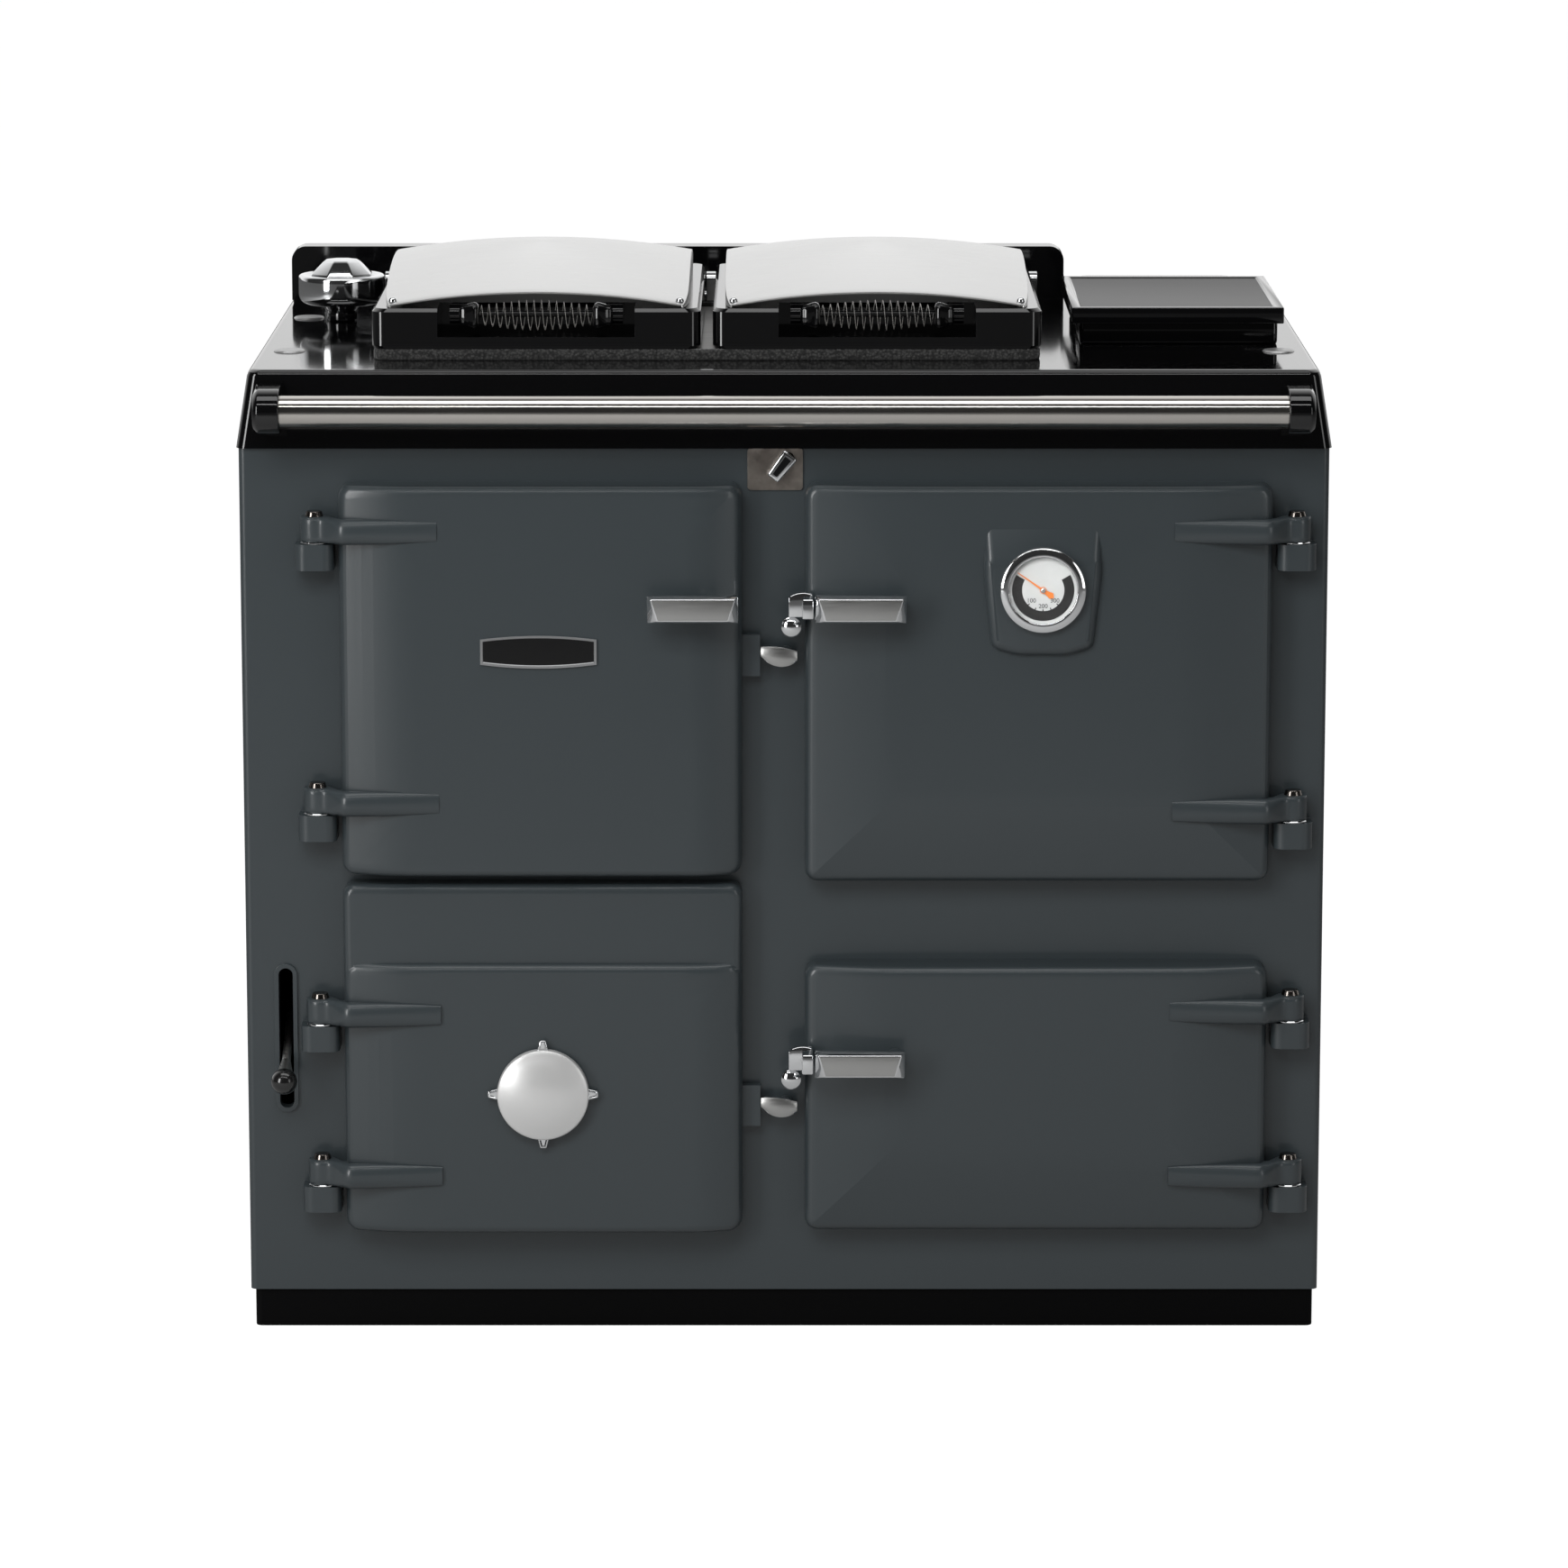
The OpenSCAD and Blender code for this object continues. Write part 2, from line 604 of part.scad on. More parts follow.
catch_stud_r = 4;
catch_t = 10;
catch_tail = 10;
module catch_plate() rotate([90, 0, 0]) {
    translate([0, 0, -front_t - catch_boss]) cylinder(r = catch_stud_r, h = front_t + catch_boss + eps);
    translate([0, 0, run]) linear_extrude(catch_t) {
        translate([-catch_nose + 8, -catch_tail]) square([catch_nose - 8, 2 * catch_tail]);
        translate([-catch_nose + 8, 0]) scale([0.8, 1]) circle(catch_tail);
        intersection() {
            translate([0, -catch_tail]) square([catch_tail, 2 * catch_tail]);
            circle(catch_tail + 1);
        }
    }
}
module firebox_catch() color(chrome) at_front()
    translate([catch_x, front_set - catch_boss, fire_catch_z]) catch_plate();
module ashpit_catch() color(chrome) at_front()
    translate([catch_x, front_set - catch_boss, ash_catch_z]) catch_plate();

// ---- Damper -----------------------------------------------------------------

index_t = 2;
index_side = 13;                       // from the spindle to the plate's right edge
index_h = 38;
lever_t = 6;
lever_len = 30;
flap_r = 26;
module damper_plate() color(steel) at_front() difference() {
    translate([damper_x + index_side - index_w, front_set, apron_z - index_h]) rotate([90, 0, 0])
        rounded_block([index_w, index_h - fit, index_t], 3);
    translate([damper_x, front_set + eps, damper_z]) rotate([90, 0, 0])
        cylinder(r = spindle_r + run, h = index_t + 2 * eps);
}

spindle_len = 110;
flap_in = 40;
flap_d = 66;
flap_t = 4;
lever_w = 8;
module damper_lever() color(chrome) at_front() translate([damper_x, front_set, damper_z])
    rotate([90, 0, 0]) {
        translate([0, 0, -spindle_len])
            cylinder(r = spindle_r, h = spindle_len + index_t + run + lever_t / 2);
        translate([0, 0, index_t + run]) cylinder(r = spindle_r + 2, h = lever_t);
        translate([0, 0, index_t + run + eps]) rotate(225) linear_extrude(lever_t - 2 * eps) {
            translate([0, -lever_w / 2]) square([lever_len - lever_w / 2, lever_w]);
            translate([lever_len - lever_w / 2, 0]) circle(lever_w / 2);
        }
    }
module damper_flap() color(iron) at_front() translate([damper_x, front_set + flap_in, damper_z])
    difference() {
        union() {
            translate([-flap_r, 0, -flap_t / 2]) cube([2 * flap_r, flap_d, flap_t]);
            rotate([-90, 0, 0]) cylinder(r = spindle_r + 3, h = flap_d);
        }
        translate([0, -eps, 0]) rotate([-90, 0, 0]) cylinder(r = spindle_r + fit, h = flap_d + 2 * eps);
    }

// ---- Ovens ------------------------------------------------------------------

runner_w = 8;
runner_t = 6;
shelf_wire = 3;
function runner_zs(h) = [h * 0.3, h * 0.62];

module oven(z, h) translate([right_x + oven_margin, 0, z]) {
    difference() {
        translate([-oven_wall, plate_back, -oven_wall])
            cube([oven_mouth_w + 2 * oven_wall, oven_depth, h + 2 * oven_wall]);
        translate([0, plate_back - eps, 0]) cube([oven_mouth_w, oven_depth - oven_wall + eps, h]);
    }
    for (rz = runner_zs(h), x = [-eps, oven_mouth_w - runner_w])
        translate([x, plate_back + 20, rz]) cube([runner_w + eps, oven_depth - 60, runner_t]);
}
module top_oven_cavity() color(iron) at_front() oven(top_oven_z, top_oven_h);
module bottom_oven_cavity() color(iron) at_front() oven(low_oven_z, low_oven_h);

shelf_side = 2;
module shelf(z) translate([right_x + oven_margin + shelf_side, plate_back + 24, z + shelf_wire]) {
    w = oven_mouth_w - 2 * shelf_side;
    d = oven_depth - 72;
    for (y = [shelf_wire, d - shelf_wire]) translate([0, y, 0]) rotate([0, 90, 0])
        cylinder(r = shelf_wire, h = w);
    pitch = (w - 2 * shelf_wire) / (shelf_bars - 1);
    for (i = [0 : shelf_bars - 1]) translate([shelf_wire + i * pitch, shelf_wire, 0])
        rotate([-90, 0, 0]) cylinder(r = shelf_wire * 0.8, h = d - 2 * shelf_wire);
}
module oven_shelves() color(chrome) at_front() {
    shelf(top_oven_z + runner_zs(top_oven_h)[0] + runner_t);
    shelf(low_oven_z + runner_zs(low_oven_h)[0] + runner_t);
}

// ---- Firebox and ashpit -------------------------------------------------------

shell_side = 12;                       // from the left doors' edges to the firebox's outside
shell_x = left_x + shell_side;
shell_w = left_door_w - 2 * shell_side;
shell_top = hob_h - hotplate_sink;
ledge = 22;
ledge_t = 10;
floor_z = ash_mouth_z - 2;             // top of the ashpit's floor
port_set = 40;
port_w = 90;
port_h = 56;
module shell_inside(foot, top) translate([shell_x + fire_wall, plate_back + fire_wall, foot])
    cube([shell_w - 2 * fire_wall, fire_depth - 2 * fire_wall, top - foot]);
module firebox_shell() color(iron) at_front() difference() {
    union() {
        difference() {
            translate([shell_x, plate_back, plinth_h]) cube([shell_w, fire_depth, shell_top - plinth_h]);
            shell_inside(floor_z, shell_top + eps);
            shell_inside(plinth_h - eps, floor_z - fire_wall);
        }
        translate([shell_x + 1, plate_back + 1, grate_z - ledge_t]) difference() {
            cube([shell_w - 2, fire_depth - 2, ledge_t]);
            translate([fire_wall + ledge, fire_wall + ledge, -eps])
                cube([shell_w - 2 * (fire_wall + ledge), fire_depth - 2 * (fire_wall + ledge),
                    ledge_t + 2 * eps]);
        }
    }
    for (m = [[fire_mouth_z, fire_mouth_h], [ash_mouth_z, ash_mouth_h]])
        translate([left_x + fire_margin, plate_back + fire_wall + eps, m[0]]) rotate([90, 0, 0])
            rounded_block([fire_mouth_w, m[1], fire_wall + 2 * eps], mouth_r);
    translate([shell_x + shell_w - fire_wall - eps, plate_back + port_set, apron_z - port_h / 2])
        cube([fire_wall + 2 * eps, port_w, port_h]);
    translate([shell_x - eps, grate_mid_y, grate_axis]) rotate([0, 90, 0])
        cylinder(r = grate_shaft_r + fit, h = fire_wall + 2 * eps);
}

brick_h = 270;
brick_gap = 0.5;
bed_x = shell_x + fire_wall + brick_gap;
bed_w = shell_w - 2 * (fire_wall + brick_gap);
bed_y = plate_back + fire_wall + brick_gap;
bed_d = fire_depth - 2 * (fire_wall + brick_gap);
grate_t = 14;
module firebricks() color(brick) at_front() translate([bed_x, bed_y, grate_z + grate_t]) {
    side_d = (bed_d - brick_t - brick_gap) / 2;
    for (x = [0, bed_w - brick_t], y = [0, side_d])
        translate([x, y, 0]) cube([brick_t, side_d - brick_gap, brick_h]);
    for (i = [0, 1]) translate([i * bed_w / 2, bed_d - brick_t, 0])
        cube([bed_w / 2 - brick_gap, brick_t, brick_h]);
}

grate_open_w = 250;
grate_open_d = 260;
grate_mid_y = bed_y + bed_d / 2;
grate_mid_x = shell_x + shell_w / 2;
grate_shaft_r = 5;
grate_axis = grate_z + grate_t / 2;
shaft_seat = 20;
module grate_frame() color(iron) at_front() difference() {
    translate([bed_x, bed_y, grate_z]) cube([bed_w, bed_d, grate_t]);
    translate([grate_mid_x - grate_open_w / 2, grate_mid_y - grate_open_d / 2, grate_z - eps])
        cube([grate_open_w, grate_open_d, grate_t + 2 * eps]);
    translate([bed_x - eps, grate_mid_y, grate_axis]) rotate([0, 90, 0])
        cylinder(r = grate_shaft_r + fit, h = grate_mid_x + grate_open_w / 2 + shaft_seat - bed_x + eps);
}

bar_tip = 6;
bar_play = 10;
bar_d = 9;
cross_w = 8;
cross_t = 7;
module grate_bars() color(iron) at_front() translate([grate_mid_x, grate_mid_y, grate_axis]) {
    left = riddle_x - hub_w / 2 - grate_mid_x;
    translate([left, 0, 0]) rotate([0, 90, 0])
        cylinder(r = grate_shaft_r, h = grate_open_w / 2 + shaft_seat - run - left);
    pitch = (grate_open_w - 2 * bar_play) / grate_bars_n;
    for (i = [0 : grate_bars_n - 1])
        translate([(i - (grate_bars_n - 1) / 2) * pitch, 0, 0]) rotate([90, 0, 90])
            linear_extrude(pitch * 0.55, center = true) {
                square([grate_open_d - 2 * bar_tip, bar_d], center = true);
                circle(bar_d);
            }
    for (y = [-1, 1]) translate([0, y * (grate_open_d / 2 - bar_tip - bar_d), 0])
        cube([grate_open_w - 2 * bar_play, cross_w, cross_t], center = true);
}

pan_wall = 2;
pan_h = 0.545 * ash_mouth_h;
pan_clear = 8;
module ashpan() color(iron) at_front() translate([left_x + fire_margin + pan_clear, bed_y + 6, floor_z]) {
    w = fire_mouth_w - 2 * pan_clear;
    d = bed_d - 16;
    difference() {
        rounded_block([w, d, pan_h], 6);
        translate([pan_wall, pan_wall, pan_wall])
            rounded_block([w - 2 * pan_wall, d - 2 * pan_wall, pan_h], 5);
    }
    for (x = [w / 2 - 45, w / 2 + 37]) translate([x, -6, pan_h - 30]) cube([8, 6.5, 22]);
    translate([w / 2 - 45, -11, pan_h - 22]) cube([90, 5.5, 8]);
}

// ---- Riddling lever -----------------------------------------------------------

lever_rise = 115;                      // from the knob's middle at rest up to the grate's shaft
knob_out = 38;                         // from the knob's middle to the front plate
knob_ball_r = 12;
rod_r_end = 4;
hub_r = 13;
hub_w = 12;
ferrule_len = 20;
lever_run = grate_mid_y - front_set + knob_out;
lever_fall = atan(lever_rise / lever_run);
lever_reach = norm([lever_run, lever_rise]) - 4;
module riddle_frame() at_front() translate([riddle_x, grate_mid_y, grate_axis])
    rotate([180 + lever_fall, 0, 0]) children();
module ferrule() translate([0, 0, lever_reach - ferrule_len - 4])
    cylinder(r1 = rod_r_end + 0.5, r2 = knob_ball_r * 0.65, h = ferrule_len);
module riddling_lever() color(steel) riddle_frame() difference() {
    union() {
        rotate([0, 90, 0]) cylinder(r = hub_r, h = hub_w, center = true);
        rotate([-90, 0, 0]) cylinder(r = rod_r_end, h = lever_reach);
        rotate([-90, 0, 0]) ferrule();
    }
    rotate([0, 90, 0]) cylinder(r = grate_shaft_r + fit, h = hub_w + 2 * eps, center = true);
}
module riddling_knob() color(enamel_black) riddle_frame() rotate([-90, 0, 0]) difference() {
    translate([0, 0, lever_reach + 4]) sphere(r = knob_ball_r);
    translate([0, 0, -eps]) cylinder(r = rod_r_end, h = lever_reach + eps);
    ferrule();
}

// ---- Doors ------------------------------------------------------------------

edge_r = 7;
rope_w = 10;
rope_gap = 4;
rope_squeeze = 0.3;
cavity_t = 12;
plug_t = 14;
plug_gap = 5;

// A door slab, lofted from rounded rings. Its sides roll over into a face that
// falls away towards the borders: falls = [left, right, foot], 0 for a straight one.
ring_arc = 6;
ring_stops = [0.15, 0.35, 0.6, 1];
face_bow = 1.5;
face_insets = [5, 14, 25, 38, 52, 66, 80];
flat_from = 90;                        // inset from which every face is flat
least_r = 1.5;
function corner(cx, cy, r, turn) = [for (i = [0 : ring_arc])
    [cx + r * cos(turn + 90 * i / ring_arc), cy + r * sin(turn + 90 * i / ring_arc)]];
function stops(from, to, back) = [for (i = [0 : len(ring_stops) - 1])
    from + (to - from) * ring_stops[back ? len(ring_stops) - 1 - i : i]];
function slab_ring(w, h, dx, dy) = let (r = max(door_corner_r - dx, least_r),
        x0 = dx + r, x1 = w - dx - r, y0 = dy + r, y1 = h - dy - r, up = min(flat_from, h / 2))
    concat(corner(x1, y1, r, 0),
        [for (x = stops(x1, w - flat_from, false)) [x, h - dy]],
        [for (x = stops(x0, flat_from, true)) [x, h - dy]], corner(x0, y1, r, 90),
        [for (y = stops(y0, up, true)) [dx, y]], corner(x0, y0, r, 180),
        [for (x = stops(x0, flat_from, false)) [x, dy]],
        [for (x = stops(x1, w - flat_from, true)) [x, dy]], corner(x1, y0, r, 270),
        [for (y = stops(y0, up, false)) [w - dx, y]]);
function fade(d, fall) = d >= fall ? 1 : 1 - pow(1 - d / fall, face_bow);
function face_z(p, w, falls, crown) = door_edge_t + (crown - door_edge_t)
    * min(fade(p[0], falls[0]), fade(w - p[0], falls[1]), fade(p[1], falls[2]));
function slab_level(w, h, falls, crown, dx, dy, drop) = [for (p = slab_ring(w, h, dx, dy))
    [p[0], p[1], face_z(p, w, falls, crown) - drop]];

module door_slab(w, h, falls, crown) {
    dy_share = min(1, (h / 2 - edge_r - 8) / last(face_insets));
    levels = concat(
        [[for (p = slab_ring(w, h, 0, 0)) [p[0], p[1], 0]]],
        [for (a = [0 : 22.5 : 90]) let (in = edge_r * (1 - cos(a)))
            slab_level(w, h, falls, crown, in, in, edge_r * (1 - sin(a)))],
        [for (in = face_insets)
            slab_level(w, h, falls, crown, edge_r + in, edge_r + in * dy_share, 0)]);
    n = len(levels[0]);
    top = (len(levels) - 1) * n;
    walls = [for (i = [0 : len(levels) - 2], k = [0 : n - 1]) let (m = (k + 1) % n)
        each [[i * n + k, (i + 1) * n + m, i * n + m], [i * n + k, (i + 1) * n + k, (i + 1) * n + m]]];
    ends = [for (k = [0 : n - 1]) let (m = (k + 1) % n)
        each [[top + n, k, m], [top + n + 1, top + m, top + k]]];
    middles = [[w / 2, h / 2, 0], [w / 2, h / 2, crown]];
    polyhedron(concat([for (level = levels) each level], middles), concat(walls, ends));
}
function last(list) = list[len(list) - 1];

knuckle_r = 12;
arm_tilt = 10;
module hinge_arm() translate([-hinge_out, 0, pin_out]) {
    rotate([90, 0, 0]) cylinder(r = knuckle_r, h = arm_h, center = true);
    rotate([0, 90 - arm_tilt, 0]) {
        cylinder(r1 = arm_h / 2 - 0.5, r2 = 6.5, h = arm_len);
        translate([0, 0, arm_len]) sphere(r = 6.5);
    }
}
module hinge_arms(zs) for (z = zs) translate([0, z, 0]) hinge_arm();
module hinge_bores(zs) for (z = zs) translate([-hinge_out, z, pin_out]) rotate([90, 0, 0])
    cylinder(r = pin_r + fit, h = arm_h + 2 * eps, center = true);

// The hollow in a door's back for its rope and liner.
module door_hollow(w, h, margin) {
    side = margin - rope_gap - rope_w;
    translate([side, side, -eps]) rounded_block([w - 2 * side, h - 2 * side, cavity_t + eps], mouth_r);
    translate([margin + 22, margin + 22, cavity_t - eps])
        rounded_block([w - 2 * margin - 44, h - 2 * margin - 44, 13 + eps], mouth_r);
}
module door_rope(w, h, margin) {
    side = margin - rope_gap - rope_w;
    translate([side, side, rope_squeeze - door_gap])
        ring_block([w - 2 * side, h - 2 * side, cavity_t + door_gap - rope_squeeze], mouth_r, rope_w);
}
module door_liner(w, h, margin) {
    side = margin - rope_gap;
    difference() {
        union() {
            translate([side, side, 0]) rounded_block([w - 2 * side, h - 2 * side, cavity_t], 4);
            translate([margin + plug_gap, margin + plug_gap, -plug_t])
                rounded_block([w - 2 * (margin + plug_gap), h - 2 * (margin + plug_gap), plug_t + eps], 6);
        }
        translate([margin + plug_gap + 16, margin + plug_gap + 16, -plug_t - eps])
            rounded_block([w - 2 * (margin + plug_gap + 16), h - 2 * (margin + plug_gap + 16), 6 + eps], 6);
    }
}

handle_bar_back = handle_reach + door_back - bar_t;   // out from a door's back
module handle_bar() hull() {
    linear_extrude(0.02) square([bar_w, bar_h], center = true);
    translate([0, 0, bar_t * 0.45]) linear_extrude(0.02) square([bar_w, bar_h], center = true);
    translate([0, 0, bar_t - 0.02]) linear_extrude(0.02) polygon([
        [-bar_w / 2 + 3, bar_h / 2 - 2.5], [bar_w / 2 - 3, bar_h / 2 - 2.5],
        [bar_w / 2 - 9, -bar_h / 2 + 2.5], [-bar_w / 2 + 9, -bar_h / 2 + 2.5]]);
}

tongue_h = 38;
tongue_t = 10;
tongue_lift = 1;
tongue_len = catch_x - catch_nose - tongue_gap - left_x - left_door_w;
module door_tongue(z) translate([left_door_w - 20, z - tongue_h / 2, tongue_lift])
    cube([tongue_len + 20, tongue_h, tongue_t]);

fire_arms = [fire_door_h - arm_drop, arm_rise];
fire_handle_in = 3;
fire_falls = [60, 40, 0];
module firebox_door() color(body_blue) on_door(left_x, fire_foot) difference() {
    union() {
        door_slab(left_door_w, fire_door_h, fire_falls, door_crown_t);
        hinge_arms(fire_arms);
        door_tongue(fire_catch_z - fire_foot);
    }
    hinge_bores(fire_arms);
    door_hollow(left_door_w, fire_door_h, fire_margin);
}
module firebox_door_liner() color(iron) on_door(left_x, fire_foot)
    door_liner(left_door_w, fire_door_h, fire_margin);
module firebox_door_rope() color(rope_grey) on_door(left_x, fire_foot)
    door_rope(left_door_w, fire_door_h, fire_margin);

stand_r = 9;
stand_in = 21;                         // from a bar's end to its stand
module firebox_door_handle() color(chrome) on_door(left_x, fire_foot)
    translate([left_door_w - fire_handle_in - bar_w / 2, handle_z - fire_foot, 0]) {
        translate([0, 0, handle_bar_back]) handle_bar();
        difference() {
            translate([bar_w / 2 - stand_in, 0, door_edge_t])
                cylinder(r = stand_r, h = handle_bar_back - door_edge_t + eps);
            translate([-left_door_w + fire_handle_in + bar_w / 2, fire_foot - handle_z, 0])
                door_slab(left_door_w, fire_door_h, fire_falls, door_crown_t);
        }
    }

ash_arms = [ash_step_h - ash_arm_drop, arm_rise_low];
wheel_x = left_door_w / 2;
wheel_y = wheel_z - lower_foot;
ash_crown = 36;
ash_falls = [60, 40, 0];
band_crown = 27;
band_lap = 22;                         // how far the upper band runs behind the lower part
seat_r = 33;
air_hole_r = 7;
stud_out = ash_crown + 20;
module ashpit_door() color(body_blue) on_door(left_x, lower_foot) difference() {
    union() {
        door_slab(left_door_w, ash_step_h, ash_falls, ash_crown);
        translate([0, ash_step_h - band_lap, 0])
            door_slab(left_door_w, ash_door_h - ash_step_h + band_lap, ash_falls, band_crown);
        hinge_arms(ash_arms);
        door_tongue(ash_catch_z - lower_foot);
        translate([wheel_x, wheel_y, cavity_t + 1]) cylinder(r = seat_r, h = ash_crown + 1 - cavity_t);
        translate([wheel_x, wheel_y, cavity_t + 1]) cylinder(r = stud_r, h = stud_out - cavity_t - 1);
    }
    hinge_bores(ash_arms);
    side = fire_margin - rope_gap - rope_w;
    translate([side, side, -eps])
        rounded_block([left_door_w - 2 * side, ash_mouth_h + 2 * (fire_margin - side),
            cavity_t + eps], mouth_r);
    for (a = [0 : 60 : 300]) translate([wheel_x, wheel_y, 0]) rotate(a) translate([20, 0, cavity_t - eps])
        cylinder(r = air_hole_r, h = ash_crown);
}
module ashpit_door_rope() color(rope_grey) on_door(left_x, lower_foot) {
    side = fire_margin - rope_gap - rope_w;
    translate([side, side, rope_squeeze - door_gap])
        ring_block([left_door_w - 2 * side, ash_mouth_h + 2 * (fire_margin - side),
            cavity_t + door_gap - rope_squeeze], mouth_r, rope_w);
}

stud_r = 5;
bush_r = 9;
wheel_back = ash_crown + 1 + door_gap + 1;
wheel_rim_t = 9;
dome_r = 95;
dome_h = dome_r - sqrt(dome_r * dome_r - (wheel_r - 1.5) * (wheel_r - 1.5));
wheel_t = wheel_rim_t + dome_h;
bush_t = 14;
module air_wheel_bush() color(steel) on_door(left_x, lower_foot)
    translate([wheel_x, wheel_y, wheel_back]) difference() {
        cylinder(r = bush_r, h = bush_t);
        translate([0, 0, -eps]) cylinder(r = stud_r + fit, h = bush_t + 2 * eps);
    }
lug_tip_r = wheel_r + 9;
module air_wheel() color(chrome) on_door(left_x, lower_foot) translate([wheel_x, wheel_y, wheel_back]) {
    difference() {
        union() {
            cylinder(r = wheel_r, h = wheel_rim_t);
            translate([0, 0, wheel_rim_t - eps]) intersection() {
                cylinder(r = wheel_r - 1.5, h = wheel_t);
                translate([0, 0, dome_h + eps - dome_r]) sphere(r = dome_r, $fn = 128);
            }
            for (a = [0 : 90 : 270]) rotate(a) translate([wheel_r - 4, 0, 0])
                linear_extrude(5) polygon([[0, -7], [13, -3], [13, 3], [0, 7]]);
        }
        translate([0, 0, -eps]) cylinder(r = bush_r + fit, h = bush_t + run + eps);
        translate([0, 0, -eps]) difference() {
            cylinder(r = wheel_r - 6, h = 6 + eps);
            translate([0, 0, -eps]) cylinder(r = bush_r + 5, h = 10);
        }
        cylinder(r = stud_r + 1, h = stud_out - wheel_back + 2);
    }
}

latch_x = bar_w;                       // pivot, from the oven door's free edge
latch_stud_r = 5;
gauge_x = right_door_w / 2 + 3;
gauge_y = gauge_z - top_oven_foot;
boss_t = 8;
boss_out = door_crown_t + boss_t;
boss_w = 108;
gauge_stem_r = 4;

module right_arms(w, zs) translate([w, 0, 0]) mirror([1, 0, 0]) hinge_arms(zs);
module right_bores(w, zs) translate([w, 0, 0]) mirror([1, 0, 0]) hinge_bores(zs);

module latch_post(z) {
    translate([latch_x, z, door_edge_t]) cylinder(r = stand_r, h = handle_bar_back - run - door_edge_t);
    translate([latch_x, z, door_edge_t])
        cylinder(r = latch_stud_r, h = handle_bar_back + bar_t - 4 - door_edge_t);
}

module gauge_boss() translate([gauge_x, gauge_y, door_crown_t - 2]) hull() {
    linear_extrude(0.02) polygon([[-boss_w / 2, 44], [boss_w / 2, 44], [boss_w / 2 - 7, -54],
        [22, -60], [-22, -60], [-boss_w / 2 + 7, -54]]);
    translate([0, 0, boss_t + 1.98]) linear_extrude(0.02) polygon([[-boss_w / 2 + 7, 22],
        [boss_w / 2 - 7, 22], [boss_w / 2 - 13, -46], [20, -52], [-20, -52], [-boss_w / 2 + 13, -46]]);
}

top_arms = [top_oven_door_h - arm_drop, arm_rise];
low_arms = [low_oven_door_h - arm_drop, arm_rise_low];
oven_falls = [door_border, door_border, door_border];

module top_oven_door() color(body_blue) on_door(right_x, top_oven_foot) difference() {
    union() {
        door_slab(right_door_w, top_oven_door_h, oven_falls, door_crown_t);
        right_arms(right_door_w, top_arms);
        latch_post(handle_z - top_oven_foot);
        gauge_boss();
        translate([gauge_x, gauge_y, door_crown_t - 1]) cylinder(r = gauge_r - 4, h = boss_t + 1);
    }
    right_bores(right_door_w, top_arms);
    door_hollow(right_door_w, top_oven_door_h, oven_margin);
    translate([gauge_x, gauge_y, 0]) cylinder(r = gauge_stem_r, h = boss_out + eps);
}
module top_oven_door_liner() color(steel) on_door(right_x, top_oven_foot)
    door_liner(right_door_w, top_oven_door_h, oven_margin);
module top_oven_door_rope() color(rope_grey) on_door(right_x, top_oven_foot)
    door_rope(right_door_w, top_oven_door_h, oven_margin);

module bottom_oven_door() color(body_blue) on_door(right_x, lower_foot) difference() {
    union() {
        door_slab(right_door_w, low_oven_door_h, oven_falls, door_crown_t);
        right_arms(right_door_w, low_arms);
        latch_post(low_handle_z - lower_foot);
    }
    right_bores(right_door_w, low_arms);
    door_hollow(right_door_w, low_oven_door_h, oven_margin);
}
module bottom_oven_door_liner() color(steel) on_door(right_x, lower_foot)
    door_liner(right_door_w, low_oven_door_h, oven_margin);
module bottom_oven_door_rope() color(rope_grey) on_door(right_x, lower_foot)
    door_rope(right_door_w, low_oven_door_h, oven_margin);

// A latch: the bar turns on the door's stud, and its claw rests over the keeper.
claw_out = door_edge_t + edge_r;       // the claw's back, out from the door's back
claw_t = 10;
claw_r = 18;
neck_x = 2;
neck_w = 10;
module latch(z) translate([latch_x, z, 0]) {
    difference() {
        translate([-bar_w / 2 + 9, 0, handle_bar_back]) handle_bar();
        translate([0, 0, handle_bar_back - eps]) cylinder(r = latch_stud_r + fit, h = bar_t - 4 + eps + run);
    }
    translate([neck_x - latch_x, -9, claw_out]) cube([neck_w, 18, handle_bar_back - claw_out + 6]);
    translate([neck_x - latch_x + 1, -11, claw_out]) intersection() {
        translate([-claw_r, 0, 0]) cube([claw_r + neck_w - 1, 22, claw_t]);
        union() {
            translate([0, 0, 0]) cylinder(r = 22, h = claw_t);
            cube([neck_w, 22, claw_t]);
        }
    }
}
module top_oven_latch() color(chrome) on_door(right_x, top_oven_foot) latch(handle_z - top_oven_foot);
module bottom_oven_latch() color(chrome) on_door(right_x, lower_foot) latch(low_handle_z - lower_foot);

// ---- Thermometer --------------------------------------------------------------

gauge_t = 9;
dial_r = gauge_r - 7;
module on_gauge() on_door(right_x, top_oven_foot) translate([gauge_x, gauge_y, boss_out]) children();
module thermometer_bezel() color(chrome) on_gauge() {
    rotate_extrude() difference() {
        union() {
            square([gauge_r, gauge_t - 3]);
            square([gauge_r - 3, gauge_t]);
            translate([gauge_r - 3, gauge_t - 3]) circle(3);
        }
        translate([-eps, 2]) square([dial_r + eps, gauge_t]);
        translate([-eps, gauge_t - 3]) square([dial_r + 2 + eps, 3 + eps]);
        translate([-eps, -eps]) square([1.5 + fit + eps, 4]);
    }
}
module thermometer_dial() color("white") on_gauge() translate([0, 0, 2]) difference() {
    cylinder(r = dial_r - fit, h = 1);
    translate([0, 0, -eps]) cylinder(r = 1.5 + fit, h = 3);
}
needle_rest = 145;
